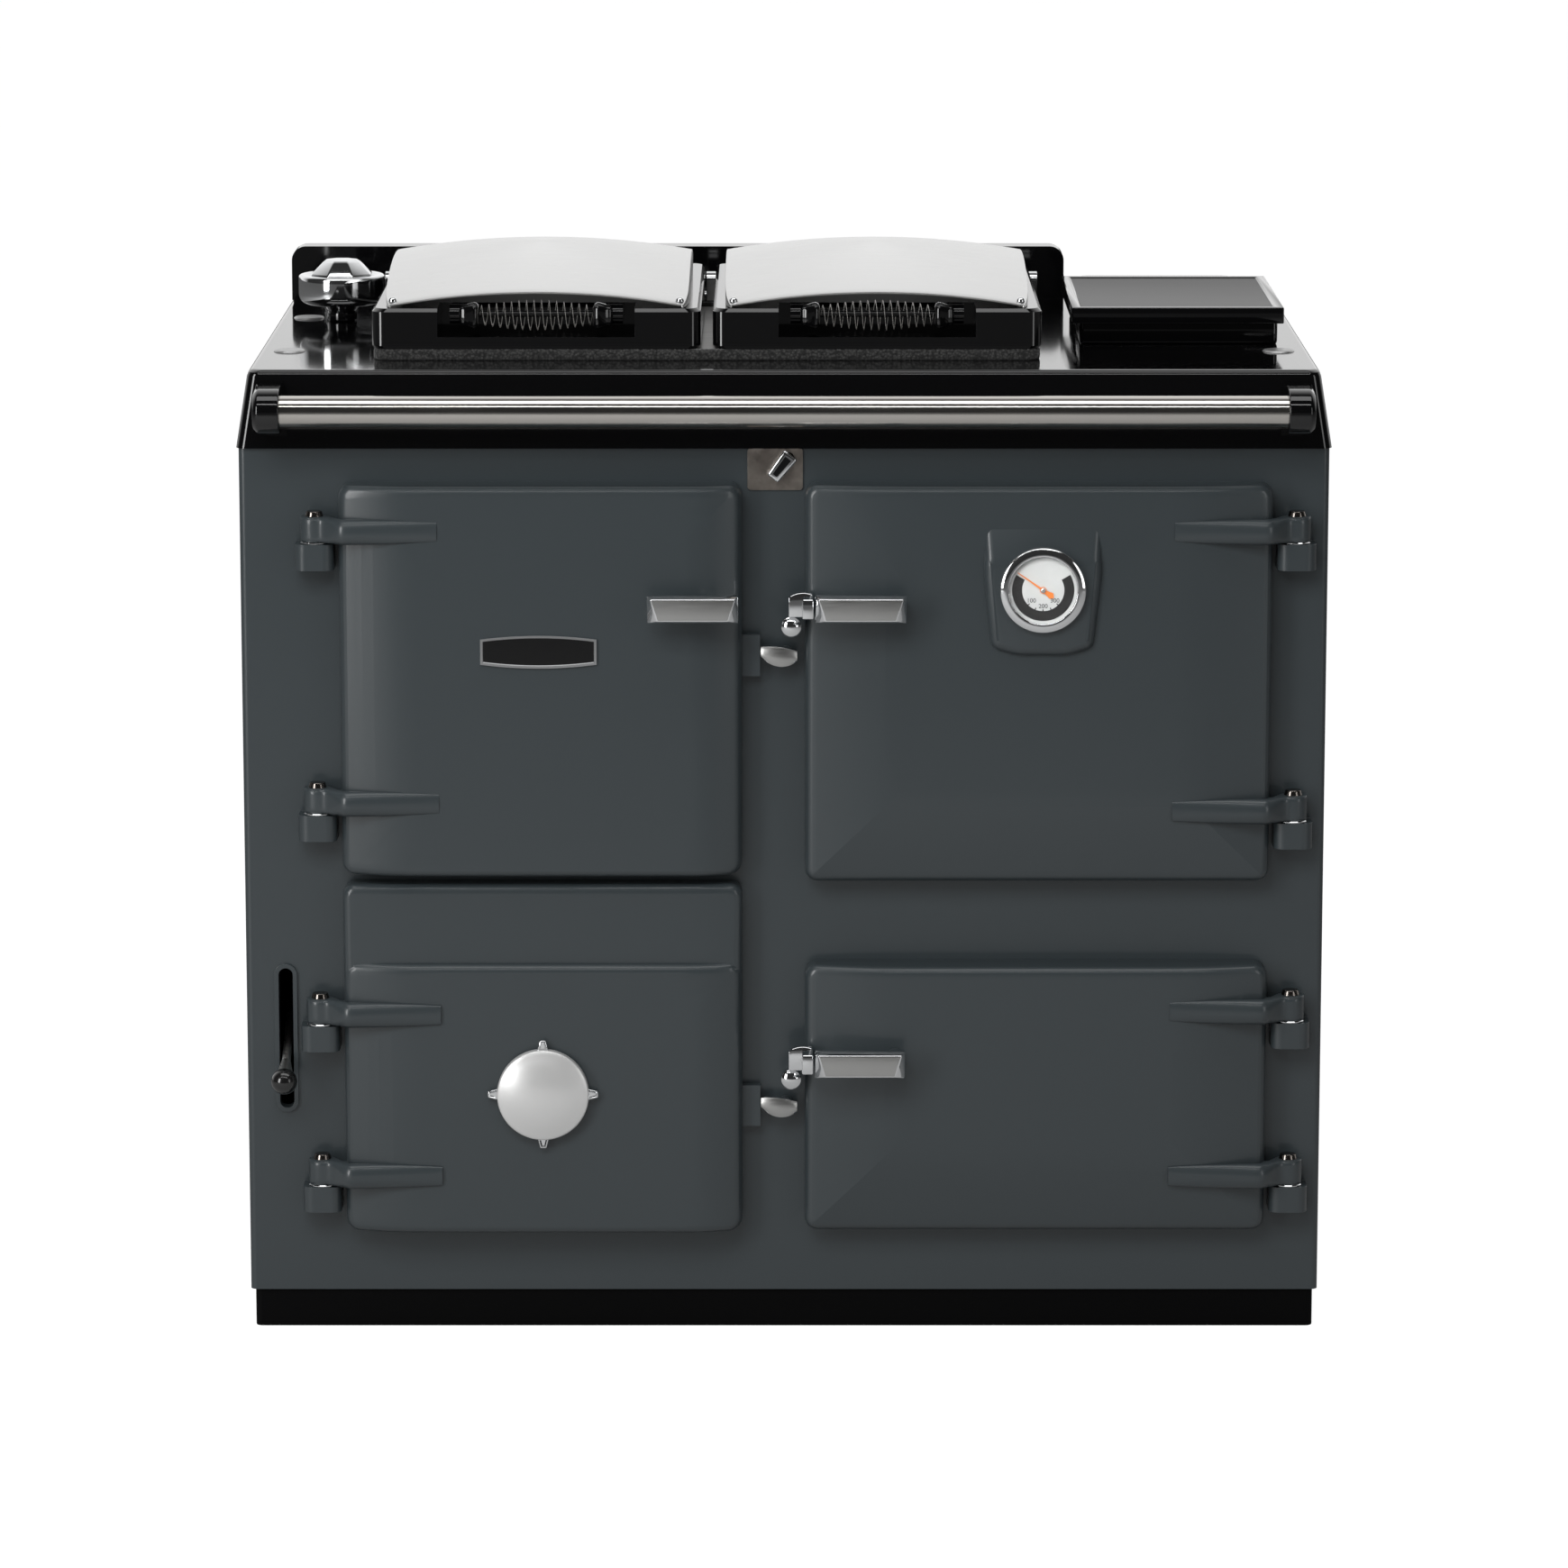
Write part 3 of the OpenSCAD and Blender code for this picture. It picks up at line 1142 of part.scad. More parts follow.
module thermometer_needle() color([0.8, 0.35, 0.1]) on_gauge() {
    translate([0, 0, 0.5]) cylinder(r = 1.5, h = 4);
    translate([0, 0, 3 + run]) cylinder(r = 3, h = 1.4);
    translate([0, 0, 3.5]) rotate(needle_rest) linear_extrude(0.8) {
        polygon([[0, -0.9], [dial_r - 4, -0.3], [dial_r - 4, 0.3], [0, 0.9]]);
        polygon([[0, -0.9], [-9, -3], [-12, 0], [-9, 3], [0, 0.9]]);
    }
}
module thermometer_glass() color([0.8, 0.9, 1, 0.4]) on_gauge() translate([0, 0, gauge_t - 3])
    cylinder(r = dial_r + 2 - fit, h = 1.5);

// ---- Lids ---------------------------------------------------------------------

lid_foot = hob_h + seal_h + run;
lid_rim = lid_foot + lid_case_h;
lid_r = 12;
lid_wall = 10;
notch_w = 180;
notch_d = 52;
notch_lip = 11;
handle_in = 14;                        // the coil's axis behind the lid's front
coil_z = lid_rim - 6;
lug_len = 20;
post_gap = 1;
post_w = lid_gap - 2 * post_gap;
post_h = 38;
post_r = 8;
lid_pin_r = 4;
lid_pin_y = lid_set + lid_d + lid_pivot_back;
lid_pin_z = hob_h + lid_pivot_h;
ear_r = 7;
rod_r = 3;
mount_w = 26;

module at_left_lid() at_front() translate([left_lid_x, lid_set, 0]) children();
module at_right_lid() at_front() translate([right_lid_x + lid_w, lid_set, 0]) mirror([1, 0, 0]) children();

// The lid's own frame has its outer front corner on the origin, so that the
// right lid is the left one's mirror image.
module lid_ear(x) translate([x, lid_d + lid_pivot_back, lid_pin_z]) {
    difference() {
        union() {
            rotate([0, 90, 0]) cylinder(r = ear_r, h = lug_len);
            translate([0, -lid_pivot_back - 3, -ear_r + 2.5])
                cube([lug_len, lid_pivot_back + 3, 2 * ear_r - 4]);
        }
        translate([-eps, 0, 0]) rotate([0, 90, 0]) cylinder(r = lid_pin_r + fit, h = lug_len + 2 * eps);
    }
}

module handle_mount(x) translate([x, 0, 0]) hull() {
    translate([0, handle_in, coil_z]) rotate([0, 90, 0]) cylinder(r = 9, h = mount_w, $fn = 24);
    translate([0, notch_d - 4, lid_rim - 16]) cube([mount_w, 5, 14]);
}

module lid_casting() {
    difference() {
        translate([0, 0, lid_foot]) hull() {
            translate([2, 2, 0]) rounded_block([lid_w - 4, lid_d - 4, 1], lid_r, $fn = 32);
            translate([0, 0, 3]) rounded_block([lid_w, lid_d, lid_case_h - 6], lid_r, $fn = 32);
            translate([3, 3, lid_case_h - 1]) rounded_block([lid_w - 6, lid_d - 6, 1], lid_r, $fn = 32);
        }
        translate([lid_w / 2 - notch_w / 2, -eps, lid_foot + notch_lip])
            cube([notch_w, notch_d + eps, lid_case_h]);
        translate([lid_wall, notch_d + lid_wall, lid_foot - eps])
            rounded_block([lid_w - 2 * lid_wall, lid_d - notch_d - 2 * lid_wall, lid_case_h - 6 + eps], 6);
        translate([lid_wall, lid_wall, lid_foot - eps])
            rounded_block([lid_w - 2 * lid_wall, lid_d - 2 * lid_wall, liner_t + eps], 6);
    }
    for (x = [lid_w / 2 - coil_len / 2 - mount_w, lid_w / 2 + coil_len / 2]) handle_mount(x);
    translate([lid_w / 2 - coil_len / 2 - eps, handle_in, coil_z]) rotate([0, 90, 0])
        cylinder(r = rod_r, h = coil_len + 2 * eps);
    lid_ear(0);
    lid_ear(lid_w - lug_len);
}
liner_t = 4;
module lid_liner() translate([lid_wall, lid_wall, lid_foot])
    rounded_block([lid_w - 2 * lid_wall, lid_d - 2 * lid_wall, liner_t], 6);

cover_in = 3;
cover_n = 12;
cover_half = (lid_w - 2 * cover_in) / 2;
cover_len = lid_d - 2 * cover_in;
arc_r = (pow(cover_len / 2, 2) + pow(cover_rise, 2)) / (2 * cover_rise);
function arc_z(v) = sqrt(arc_r * arc_r - pow(v * cover_len / 2, 2)) - arc_r + cover_rise;
function cover_point(u, v, drop) = [
    lid_w / 2 + u * (cover_half - 5 * pow(abs(v), 10)),
    lid_d / 2 + v * cover_len / 2,
    lid_rim + 1 + cover_t + arc_z(v) + cover_arch * (1 - u * u) - drop];
function cover_id(i, j, k) = (i * (cover_n + 1) + j) * 2 + k;

module lid_cover() {
    n = cover_n;
    points = [for (i = [0 : n], j = [0 : n], k = [0, 1])
        cover_point(2 * i / n - 1, 2 * j / n - 1, k * cover_t)];
    tops = [for (i = [0 : n - 1], j = [0 : n - 1])
        each [[cover_id(i, j, 0), cover_id(i, j + 1, 0), cover_id(i + 1, j + 1, 0)],
            [cover_id(i, j, 0), cover_id(i + 1, j + 1, 0), cover_id(i + 1, j, 0)]]];
    unders = [for (i = [0 : n - 1], j = [0 : n - 1])
        each [[cover_id(i, j, 1), cover_id(i + 1, j + 1, 1), cover_id(i, j + 1, 1)],
            [cover_id(i, j, 1), cover_id(i + 1, j, 1), cover_id(i + 1, j + 1, 1)]]];
    fronts = [for (i = [0 : n - 1])
        each [[cover_id(i, 0, 0), cover_id(i + 1, 0, 0), cover_id(i + 1, 0, 1)],
            [cover_id(i, 0, 0), cover_id(i + 1, 0, 1), cover_id(i, 0, 1)],
            [cover_id(i + 1, n, 0), cover_id(i, n, 0), cover_id(i, n, 1)],
            [cover_id(i + 1, n, 0), cover_id(i, n, 1), cover_id(i + 1, n, 1)]]];
    sides = [for (j = [0 : n - 1])
        each [[cover_id(0, j + 1, 0), cover_id(0, j, 0), cover_id(0, j, 1)],
            [cover_id(0, j + 1, 0), cover_id(0, j, 1), cover_id(0, j + 1, 1)],
            [cover_id(n, j, 0), cover_id(n, j + 1, 0), cover_id(n, j + 1, 1)],
            [cover_id(n, j, 0), cover_id(n, j + 1, 1), cover_id(n, j, 1)]]];
    polyhedron(points, concat(tops, unders, fronts, sides));
    // The cheeks that close the cover's two sides down to the casting.
    for (x = [cover_in + 6, lid_w - cover_in - 6 - cheek_t]) translate([x, 0, 0])
        rotate([90, 0, 90]) linear_extrude(cheek_t) intersection() {
            translate([lid_d / 2, lid_rim + 1 + cover_rise - arc_r]) circle(arc_r + cover_t / 2, $fn = 256);
            translate([cover_in + 5, lid_rim]) square([cover_len - 10, cover_rise + 4]);
        }
}
cheek_t = 3;

// The coil: one unbroken wire that swells from its ends to its middle.
steps = 8;
sides_n = 6;
coil_run = coil_len - 4 * wire_r;
function coil_r(t) = coil_end_r + (coil_mid_r - coil_end_r) * sin(180 * t);
function coil_axis(t) = [2 * wire_r + coil_run * t,
    coil_r(t) * cos(360 * coil_turns * t), coil_r(t) * sin(360 * coil_turns * t)];
coil_path = concat([[0, coil_end_r, 0]],
    [for (i = [0 : steps * coil_turns]) coil_axis(i / (steps * coil_turns))],
    [[coil_len, coil_end_r, 0]]);
function unit(v) = v / norm(v);
function heading(p, i) = i == 0 || i == len(p) - 1 ? [1, 0, 0] : unit(p[i + 1] - p[i - 1]);
function ring_point(p, i, k) = let (
        out = unit([0, p[i][1], p[i][2]]),
        side = unit(cross(heading(p, i), out)),
        up = cross(side, heading(p, i)))
    p[i] + wire_r * (cos(360 * k / sides_n) * up + sin(360 * k / sides_n) * side);
// The least gap between neighbouring turns, from the points themselves.
coil_gap = min([for (i = [0 : len(coil_path) - 1], j = [i + steps - 2 : i + steps + 2])
    if (j < len(coil_path)) norm(coil_path[i] - coil_path[j])]) - 2 * wire_r;

module coil_wire() {
    n = len(coil_path);
    points = [for (i = [0 : n - 1], k = [0 : sides_n - 1]) ring_point(coil_path, i, k)];
    walls = [for (i = [0 : n - 2], k = [0 : sides_n - 1]) let (m = (k + 1) % sides_n)
        each [[i * sides_n + k, (i + 1) * sides_n + k, (i + 1) * sides_n + m],
            [i * sides_n + k, (i + 1) * sides_n + m, i * sides_n + m]]];
    ends = [for (k = [1 : sides_n - 2])
        each [[0, k, k + 1],
            [(n - 1) * sides_n, (n - 1) * sides_n + k + 1, (n - 1) * sides_n + k]]];
    polyhedron(points, concat(walls, ends));
}
module lid_coil() translate([lid_w / 2 - coil_len / 2, handle_in, coil_z]) coil_wire();
echo(least_coil_gap = coil_gap);

module left_lid_casting() color(enamel_black) at_left_lid() lid_casting();
module left_lid_cover() color(chrome) at_left_lid() lid_cover();
module left_lid_liner() color(steel) at_left_lid() lid_liner();
module left_lid_coil() color(chrome) at_left_lid() lid_coil();
module right_lid_casting() color(enamel_black) at_right_lid() lid_casting();
module right_lid_cover() color(chrome) at_right_lid() lid_cover();
module right_lid_liner() color(steel) at_right_lid() lid_liner();
module right_lid_coil() color(chrome) at_right_lid() lid_coil();

module hinge_post(x) translate([x, lid_pin_y, hob_h]) {
    translate([0, -post_r, 0]) cube([post_w, 2 * post_r, post_h - post_r]);
    translate([0, 0, post_h - post_r]) rotate([0, 90, 0]) cylinder(r = post_r, h = post_w);
}
module hinge_pin(x, len) translate([x, lid_pin_y, lid_pin_z]) rotate([0, 90, 0])
    cylinder(r = lid_pin_r, h = len);
module lid_hinges() color(chrome) at_front() {
    into = lug_len + post_gap;         // how far a pin runs out of its post
    hinge_post(left_lid_x - post_gap - post_w);
    hinge_pin(left_lid_x - post_gap - eps, into + eps);
    hinge_post(left_lid_x + lid_w + post_gap);
    hinge_pin(left_lid_x + lid_w - lug_len, 2 * lug_len + lid_gap);
    hinge_post(right_lid_x + lid_w + post_gap);
    hinge_pin(right_lid_x + lid_w - lug_len, into + eps);
}

// ---- Thermostat -----------------------------------------------------------------

collar_r = 14;
collar_h = 10;
grip_top = 55;
grip_r = 22;
stem_r = 6 - fit;
module thermostat_collar() color(enamel_black) at_front() translate([thermostat_x, knob_set, hob_h])
    difference() {
        cylinder(r = collar_r, h = collar_h);
        translate([0, 0, -eps]) cylinder(r = collar_bore, h = collar_h + 2 * eps);
    }
module thermostat_knob() color(chrome) at_front() translate([thermostat_x, knob_set, hob_h]) {
    translate([0, 0, -hob_t - 4]) cylinder(r = stem_r, h = hob_t + 4 + collar_h + 2);
    translate([0, 0, collar_h + run]) rotate_extrude() polygon([[0, 0], [12, 0], [26, 4],
        [knob_r - 2, knob_rim_h - collar_h - 6], [knob_r, knob_rim_h - collar_h],
        [knob_r - 3, knob_rim_h - collar_h + 5], [grip_r + 5, knob_rim_h - collar_h + 10],
        [grip_r, grip_top - collar_h - 5], [grip_r - 5, grip_top - collar_h], [0, grip_top - collar_h]]);
}

plinth();
front_plate();
side_panels();
rear_panel();
top_plate();
hotplate();
hotplate_seal();
fixing_caps();
flue_box();
flue_cover();
handrail();
handrail_brackets();
door_hinge_pins();
oven_keepers();
damper_plate();
damper_lever();
damper_flap();
top_oven_cavity();
bottom_oven_cavity();
oven_shelves();
firebox_shell();
firebricks();
grate_frame();
grate_bars();
ashpan();
riddling_lever();
riddling_knob();
firebox_catch();
ashpit_catch();
lid_hinges();
thermostat_collar();
thermostat_knob();
firebox_door();
firebox_door_liner();
firebox_door_rope();
firebox_door_handle();
ashpit_door();
ashpit_door_rope();
air_wheel_bush();
air_wheel();
top_oven_door();
top_oven_door_liner();
top_oven_door_rope();
top_oven_latch();
thermometer_bezel();
thermometer_dial();
thermometer_needle();
thermometer_glass();
bottom_oven_door();
bottom_oven_door_liner();
bottom_oven_door_rope();
bottom_oven_latch();
left_lid_casting();
left_lid_cover();
left_lid_liner();
left_lid_coil();
right_lid_casting();
right_lid_cover();
right_lid_liner();
right_lid_coil();
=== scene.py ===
from math import atan2, cos, pi, radians, sin, sqrt

import bpy
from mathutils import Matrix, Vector


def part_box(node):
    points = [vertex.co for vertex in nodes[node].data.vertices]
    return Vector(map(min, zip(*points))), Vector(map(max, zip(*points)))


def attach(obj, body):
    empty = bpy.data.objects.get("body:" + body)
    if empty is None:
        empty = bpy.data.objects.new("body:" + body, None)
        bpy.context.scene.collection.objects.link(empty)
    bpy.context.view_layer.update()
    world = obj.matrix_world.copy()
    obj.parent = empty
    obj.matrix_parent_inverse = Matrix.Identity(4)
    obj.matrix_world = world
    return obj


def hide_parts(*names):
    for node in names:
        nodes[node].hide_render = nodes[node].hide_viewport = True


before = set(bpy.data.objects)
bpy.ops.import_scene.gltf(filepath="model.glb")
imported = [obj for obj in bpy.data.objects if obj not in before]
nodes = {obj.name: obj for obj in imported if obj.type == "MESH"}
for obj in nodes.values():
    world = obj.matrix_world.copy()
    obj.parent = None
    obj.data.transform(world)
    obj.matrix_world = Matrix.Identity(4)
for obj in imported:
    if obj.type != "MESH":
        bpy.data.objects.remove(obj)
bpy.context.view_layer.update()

FOOT = -0.2665                            # the apron's foot along Y, where the front's sizes start
MM = 0.001


# ---- Camera -----------------------------------------------------------------
# The photograph was taken with a long lens from a little above the hob, square
# to the front, so that the hob shows as a thin band above the handrail.
CAMERA_AWAY, CAMERA_HIGH = 5.98, 1.642    # metres before the apron's foot and above the floor
CAMERA_DIP, CAMERA_LENS = 10.7, 153.4     # degrees below level, and mm on a 36 mm sensor
bpy.ops.object.camera_add(location=(0.0, FOOT - CAMERA_AWAY, CAMERA_HIGH),
    rotation=(radians(90 - CAMERA_DIP), 0, 0))
camera = bpy.context.object
camera.data.lens = CAMERA_LENS
camera.data.sensor_width = 36
camera.data.clip_end = 100
bpy.context.scene.camera = camera
bpy.context.scene.view_settings.view_transform = "Standard"


# ---- Studio -----------------------------------------------------------------
# A pale floor that runs out of sight and a white backdrop behind the cooker. The
# main light is high in front, soft strips stand at both sides, and the room on
# the camera's side is dark.
FLOOR_PALE, FLOOR_GLOW = 0.42, 0.9        # its colour, and what the camera alone sees added
ROOM_DIM, ROOM_AMBIENT, ROOM_WHITE = 0.03, 0.24, 1.0
FADE_START, FADE_END = 0.15, 0.6          # mirrored directions turn from the dim side to the white one

def lamp(name, place, aim, width, height, power, mirrored=True):
    """A soft box, with its place, what it points at, its size in metres and its power in watts."""
    bpy.ops.object.light_add(type="AREA", location=place)
    box = bpy.context.object
    box.name = name
    box.data.shape = "RECTANGLE"
    box.data.size, box.data.size_y = width, height
    box.data.energy = power
    box.rotation_euler = (Vector(aim) - Vector(place)).to_track_quat("-Z", "Y").to_euler()
    box.visible_glossy = mirrored

lamp("high_front_box", (-0.9, -2.7, 2.5), (0.0, 0.0, 0.55), 2.2, 1.2, 72, mirrored=False)
lamp("front_strip", (-0.2, -2.2, 2.6), (0.0, -0.2, 0.8), 3.0, 0.16, 9)
lamp("overhead_box", (0.0, -0.75, 2.8), (0.0, -0.3, 0.8), 3.0, 0.9, 20)
lamp("left_box", (-3.1, -3.3, 1.5), (0.0, 0.0, 0.5), 1.1, 2.6, 76)
lamp("right_box", (3.3, -3.2, 1.3), (0.0, 0.0, 0.5), 1.0, 2.2, 14)

world = bpy.data.worlds.new("studio")
world.use_nodes = True
bpy.context.scene.world = world
tree = world.node_tree
rays = tree.nodes.new("ShaderNodeLightPath")
place = tree.nodes.new("ShaderNodeTexCoord")
along = tree.nodes.new("ShaderNodeSeparateXYZ")
fade = tree.nodes.new("ShaderNodeMapRange")
fade.inputs["From Min"].default_value, fade.inputs["From Max"].default_value = FADE_START, FADE_END
fade.inputs["To Min"].default_value, fade.inputs["To Max"].default_value = ROOM_DIM, ROOM_WHITE
tree.links.new(place.outputs["Generated"], along.inputs[0])
tree.links.new(along.outputs["Y"], fade.inputs["Value"])
seen = tree.nodes.new("ShaderNodeMath")
seen.operation = "MAXIMUM"
tree.links.new(rays.outputs["Is Glossy Ray"], seen.inputs[0])
tree.links.new(rays.outputs["Is Transmission Ray"], seen.inputs[1])
ambient = tree.nodes.new("ShaderNodeMix")
ambient.data_type = "FLOAT"
ambient.inputs["A"].default_value = ROOM_AMBIENT
tree.links.new(seen.outputs[0], ambient.inputs["Factor"])
tree.links.new(fade.outputs["Result"], ambient.inputs["B"])
shown = tree.nodes.new("ShaderNodeMix")
shown.data_type = "FLOAT"
shown.inputs["B"].default_value = ROOM_WHITE
tree.links.new(rays.outputs["Is Camera Ray"], shown.inputs["Factor"])
tree.links.new(ambient.outputs["Result"], shown.inputs["A"])
tree.links.new(shown.outputs["Result"], tree.nodes["Background"].inputs["Strength"])
tree.nodes["Background"].inputs["Color"].default_value = (1, 1, 1, 1)

bpy.ops.object.select_all(action="DESELECT")
bpy.ops.mesh.primitive_plane_add(size=60)
floor = bpy.context.object
floor.name = "floor"
paint = bpy.data.materials.new("pale_floor")
paint.use_nodes = True
tree = paint.node_tree
shader = tree.nodes["Principled BSDF"]
shader.inputs["Base Color"].default_value = (FLOOR_PALE, FLOOR_PALE, FLOOR_PALE, 1)
shader.inputs["Roughness"].default_value = 0.9
shader.inputs["Specular IOR Level"].default_value = 0.05
glow = tree.nodes.new("ShaderNodeLightPath")
lift = tree.nodes.new("ShaderNodeMath")
lift.operation = "MULTIPLY"
lift.inputs[1].default_value = FLOOR_GLOW
shader.inputs["Emission Color"].default_value = (1, 1, 1, 1)
tree.links.new(glow.outputs["Is Camera Ray"], lift.inputs[0])
tree.links.new(lift.outputs[0], shader.inputs["Emission Strength"])
floor.data.materials.append(paint)


# ---- Enamelled body ---------------------------------------------------------
# The front plate, the sides and the doors are grey iron castings and steel
# sheets under slate-grey vitreous enamel, which pools a little and shines.
def finish(name, colour, rough, metallic=0.0, **sockets):
    """A new finish, with the plain sockets of its shader set."""
    made = bpy.data.materials.new(name)
    made.use_nodes = True
    shader = made.node_tree.nodes["Principled BSDF"]
    shader.inputs["Base Color"].default_value = (*colour, 1)
    shader.inputs["Roughness"].default_value = rough
    shader.inputs["Metallic"].default_value = metallic
    for socket, value in sockets.items():
        shader.inputs[socket.replace("_", " ")].default_value = value
    return made

def grain(made, scale, detail=3.0, stretch=(1, 1, 1), kind="ShaderNodeTexNoise"):
    """A pattern on the piece's own coordinates: scale is in features per metre."""
    tree = made.node_tree
    place = tree.nodes.new("ShaderNodeTexCoord")
    mapping = tree.nodes.new("ShaderNodeMapping")
    mapping.inputs["Scale"].default_value = stretch
    pattern = tree.nodes.new(kind)
    pattern.inputs["Scale"].default_value = scale
    if "Detail" in pattern.inputs:
        pattern.inputs["Detail"].default_value = detail
    tree.links.new(place.outputs["Object"], mapping.inputs["Vector"])
    tree.links.new(mapping.outputs["Vector"], pattern.inputs["Vector"])
    return pattern.outputs["Distance" if "Distance" in pattern.outputs else 0]

def vary(made, pattern, socket, low, high, start=0.3, end=0.7):
    """The pattern moves a socket between two values."""
    tree = made.node_tree
    span = tree.nodes.new("ShaderNodeMapRange")
    span.inputs["From Min"].default_value, span.inputs["From Max"].default_value = start, end
    span.inputs["To Min"].default_value, span.inputs["To Max"].default_value = low, high
    tree.links.new(pattern, span.inputs["Value"])
    tree.links.new(span.outputs["Result"], tree.nodes["Principled BSDF"].inputs[socket])

def tint(made, pattern, low, high, start=0.35, end=0.65):
    """The pattern moves the colour between two colours."""
    tree = made.node_tree
    ramp = tree.nodes.new("ShaderNodeValToRGB")
    ramp.color_ramp.elements[0].position, ramp.color_ramp.elements[1].position = start, end
    ramp.color_ramp.elements[0].color, ramp.color_ramp.elements[1].color = (*low, 1), (*high, 1)
    tree.links.new(pattern, ramp.inputs["Fac"])
    tree.links.new(ramp.outputs["Color"], tree.nodes["Principled BSDF"].inputs["Base Color"])

def relief(made, pattern, depth, strength=1.0):
    """The pattern stands up from the surface by depth, in metres. A second one adds to the first."""
    tree = made.node_tree
    bump = tree.nodes.new("ShaderNodeBump")
    bump.inputs["Strength"].default_value = strength
    bump.inputs["Distance"].default_value = depth
    normal = tree.nodes["Principled BSDF"].inputs["Normal"]
    if normal.is_linked:
        tree.links.new(normal.links[0].from_socket, bump.inputs["Normal"])
    tree.links.new(pattern, bump.inputs["Height"])
    tree.links.new(bump.outputs["Normal"], normal)

def dress(names, material, round_off=0.0, angle=30, flatten=0.6):
    """Gives CAD nodes their finish, welds their facets and rounds their sharp edges."""
    for name in names:
        part = nodes[name]
        for slot in part.material_slots:
            slot.material = material
        part.data.polygons.foreach_set("use_smooth", [True] * len(part.data.polygons))
        weld = part.modifiers.new("weld", "WELD")
        weld.merge_threshold = 0.00001
        if flatten:
            flat = part.modifiers.new("flat", "DECIMATE")
            flat.decimate_type = "DISSOLVE"
            flat.angle_limit = radians(flatten)
        if round_off:
            edge = part.modifiers.new("edge", "BEVEL")
            edge.width = round_off
            edge.segments = 2
            edge.limit_method = "ANGLE"
            edge.angle_limit = radians(angle)
            edge.harden_normals = False
            part.modifiers.new("shade", "WEIGHTED_NORMAL").keep_sharp = False
        else:
            split = part.modifiers.new("split", "EDGE_SPLIT")
            split.split_angle = radians(angle)

def enamel(name, colour, deep, rough, peel, skin=0.3):
    """Vitreous enamel: nearly even colour, a faint orange peel and a clear glassy skin."""
    made = finish(name, colour, rough, Coat_Weight=skin, Coat_Roughness=0.1)
    tint(made, grain(made, 2, 1), deep, colour, 0.2, 0.8)
    vary(made, grain(made, 3, 1), "Roughness", rough - 0.01, rough + 0.01)
    relief(made, grain(made, 140, 1), peel)
    return made

slate_enamel = enamel("slate_enamel", (0.0270, 0.0340, 0.0375), (0.0262, 0.0330, 0.0364),
    0.36, 0.000012)
dress(["front_plate", "side_panels"], slate_enamel, 0.0012)
dress(["firebox_door", "ashpit_door", "top_oven_door", "bottom_oven_door"], slate_enamel,
    0.0016, 40, 0.02)


# ---- Top plate, lids, plinth and back ---------------------------------------
# The top plate with its apron and upstand is one iron casting under gloss black
# enamel, as are the lids, the flue box and the rail's brackets. The plinth and
# the back are painted steel sheet.
black_enamel = enamel("black_enamel", (0.0016, 0.0016, 0.0018), (0.0012, 0.0012, 0.0014),
    0.07, 0.000004)
dress(["top_plate", "flue_box", "handrail_brackets"], black_enamel, 0.0015)
dress(["left_lid_casting", "right_lid_casting", "thermostat_collar"], black_enamel, 0.0022)

satin_black = finish("satin_black", (0.0012, 0.0012, 0.0013), 0.6, Specular_IOR_Level=0.08)
relief(satin_black, grain(satin_black, 900, 2), 0.00003)
dress(["plinth"], satin_black, 0.001)

back_paint = finish("back_paint", (0.016, 0.0162, 0.0165), 0.5)
vary(back_paint, grain(back_paint, 14, 3), "Roughness", 0.44, 0.54)
relief(back_paint, grain(back_paint, 260, 2), 0.00002)
dress(["rear_panel"], back_paint, 0.001)


# ---- Flue casting -----------------------------------------------------------
# A black enamelled casting stands round the flue's mouth on the hob, under a
# plate whose top is sunk by the depth of its own rim.
def block(low, high, round_off, steps=3):
    """A box between two corners in mm, with its edges rounded."""
    size = [(b - a) * MM for a, b in zip(low, high)]
    bpy.ops.object.select_all(action="DESELECT")
    bpy.ops.mesh.primitive_cube_add(size=1, scale=size,
        location=[(a + b) / 2 * MM for a, b in zip(low, high)])
    bpy.ops.object.transform_apply(location=True, rotation=True, scale=True)
    if round_off:
        soften(round_off, steps)
    return bpy.context.object

def soften(width, steps=3, angle=40):
    """Rounds the active piece's sharp edges by a width in mm."""
    harden("BEVEL", width=width * MM, segments=steps, limit_method="ANGLE", angle_limit=radians(angle))

def settle(name, body, slot, material, *stands_for, angle=35):
    """Finishes the active piece: its place, shading, finish, body and the nodes it stands for."""
    piece = bpy.context.object
    piece.name = piece.data.name = name
    bpy.ops.object.transform_apply(location=True, rotation=True, scale=True)
    bpy.ops.object.shade_smooth_by_angle(angle=radians(angle))
    if not piece.data.materials:
        piece.data.materials.append(material)
    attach(piece, body)
    if stands_for:
        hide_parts(*stands_for)
    return piece

def harden(kind, **values):
    """Gives the active piece a modifier and applies it."""
    piece = bpy.context.object
    made = piece.modifiers.new(kind.lower(), kind)
    for key, value in values.items():
        setattr(made, key, value)
    bpy.ops.object.modifier_apply(modifier=made.name)

def pick(test):
    """Selects the active piece's faces that pass a test, and goes to edit mode."""
    piece = bpy.context.object
    bpy.ops.object.mode_set(mode="EDIT")
    bpy.ops.mesh.select_mode(type="FACE")
    bpy.ops.mesh.select_all(action="DESELECT")
    bpy.ops.object.mode_set(mode="OBJECT")
    for face in piece.data.polygons:
        face.select = test(face)
    bpy.ops.object.mode_set(mode="EDIT")

def span(node):
    """A node's low and high corners, in mm."""
    return [[c / MM for c in corner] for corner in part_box(node)]

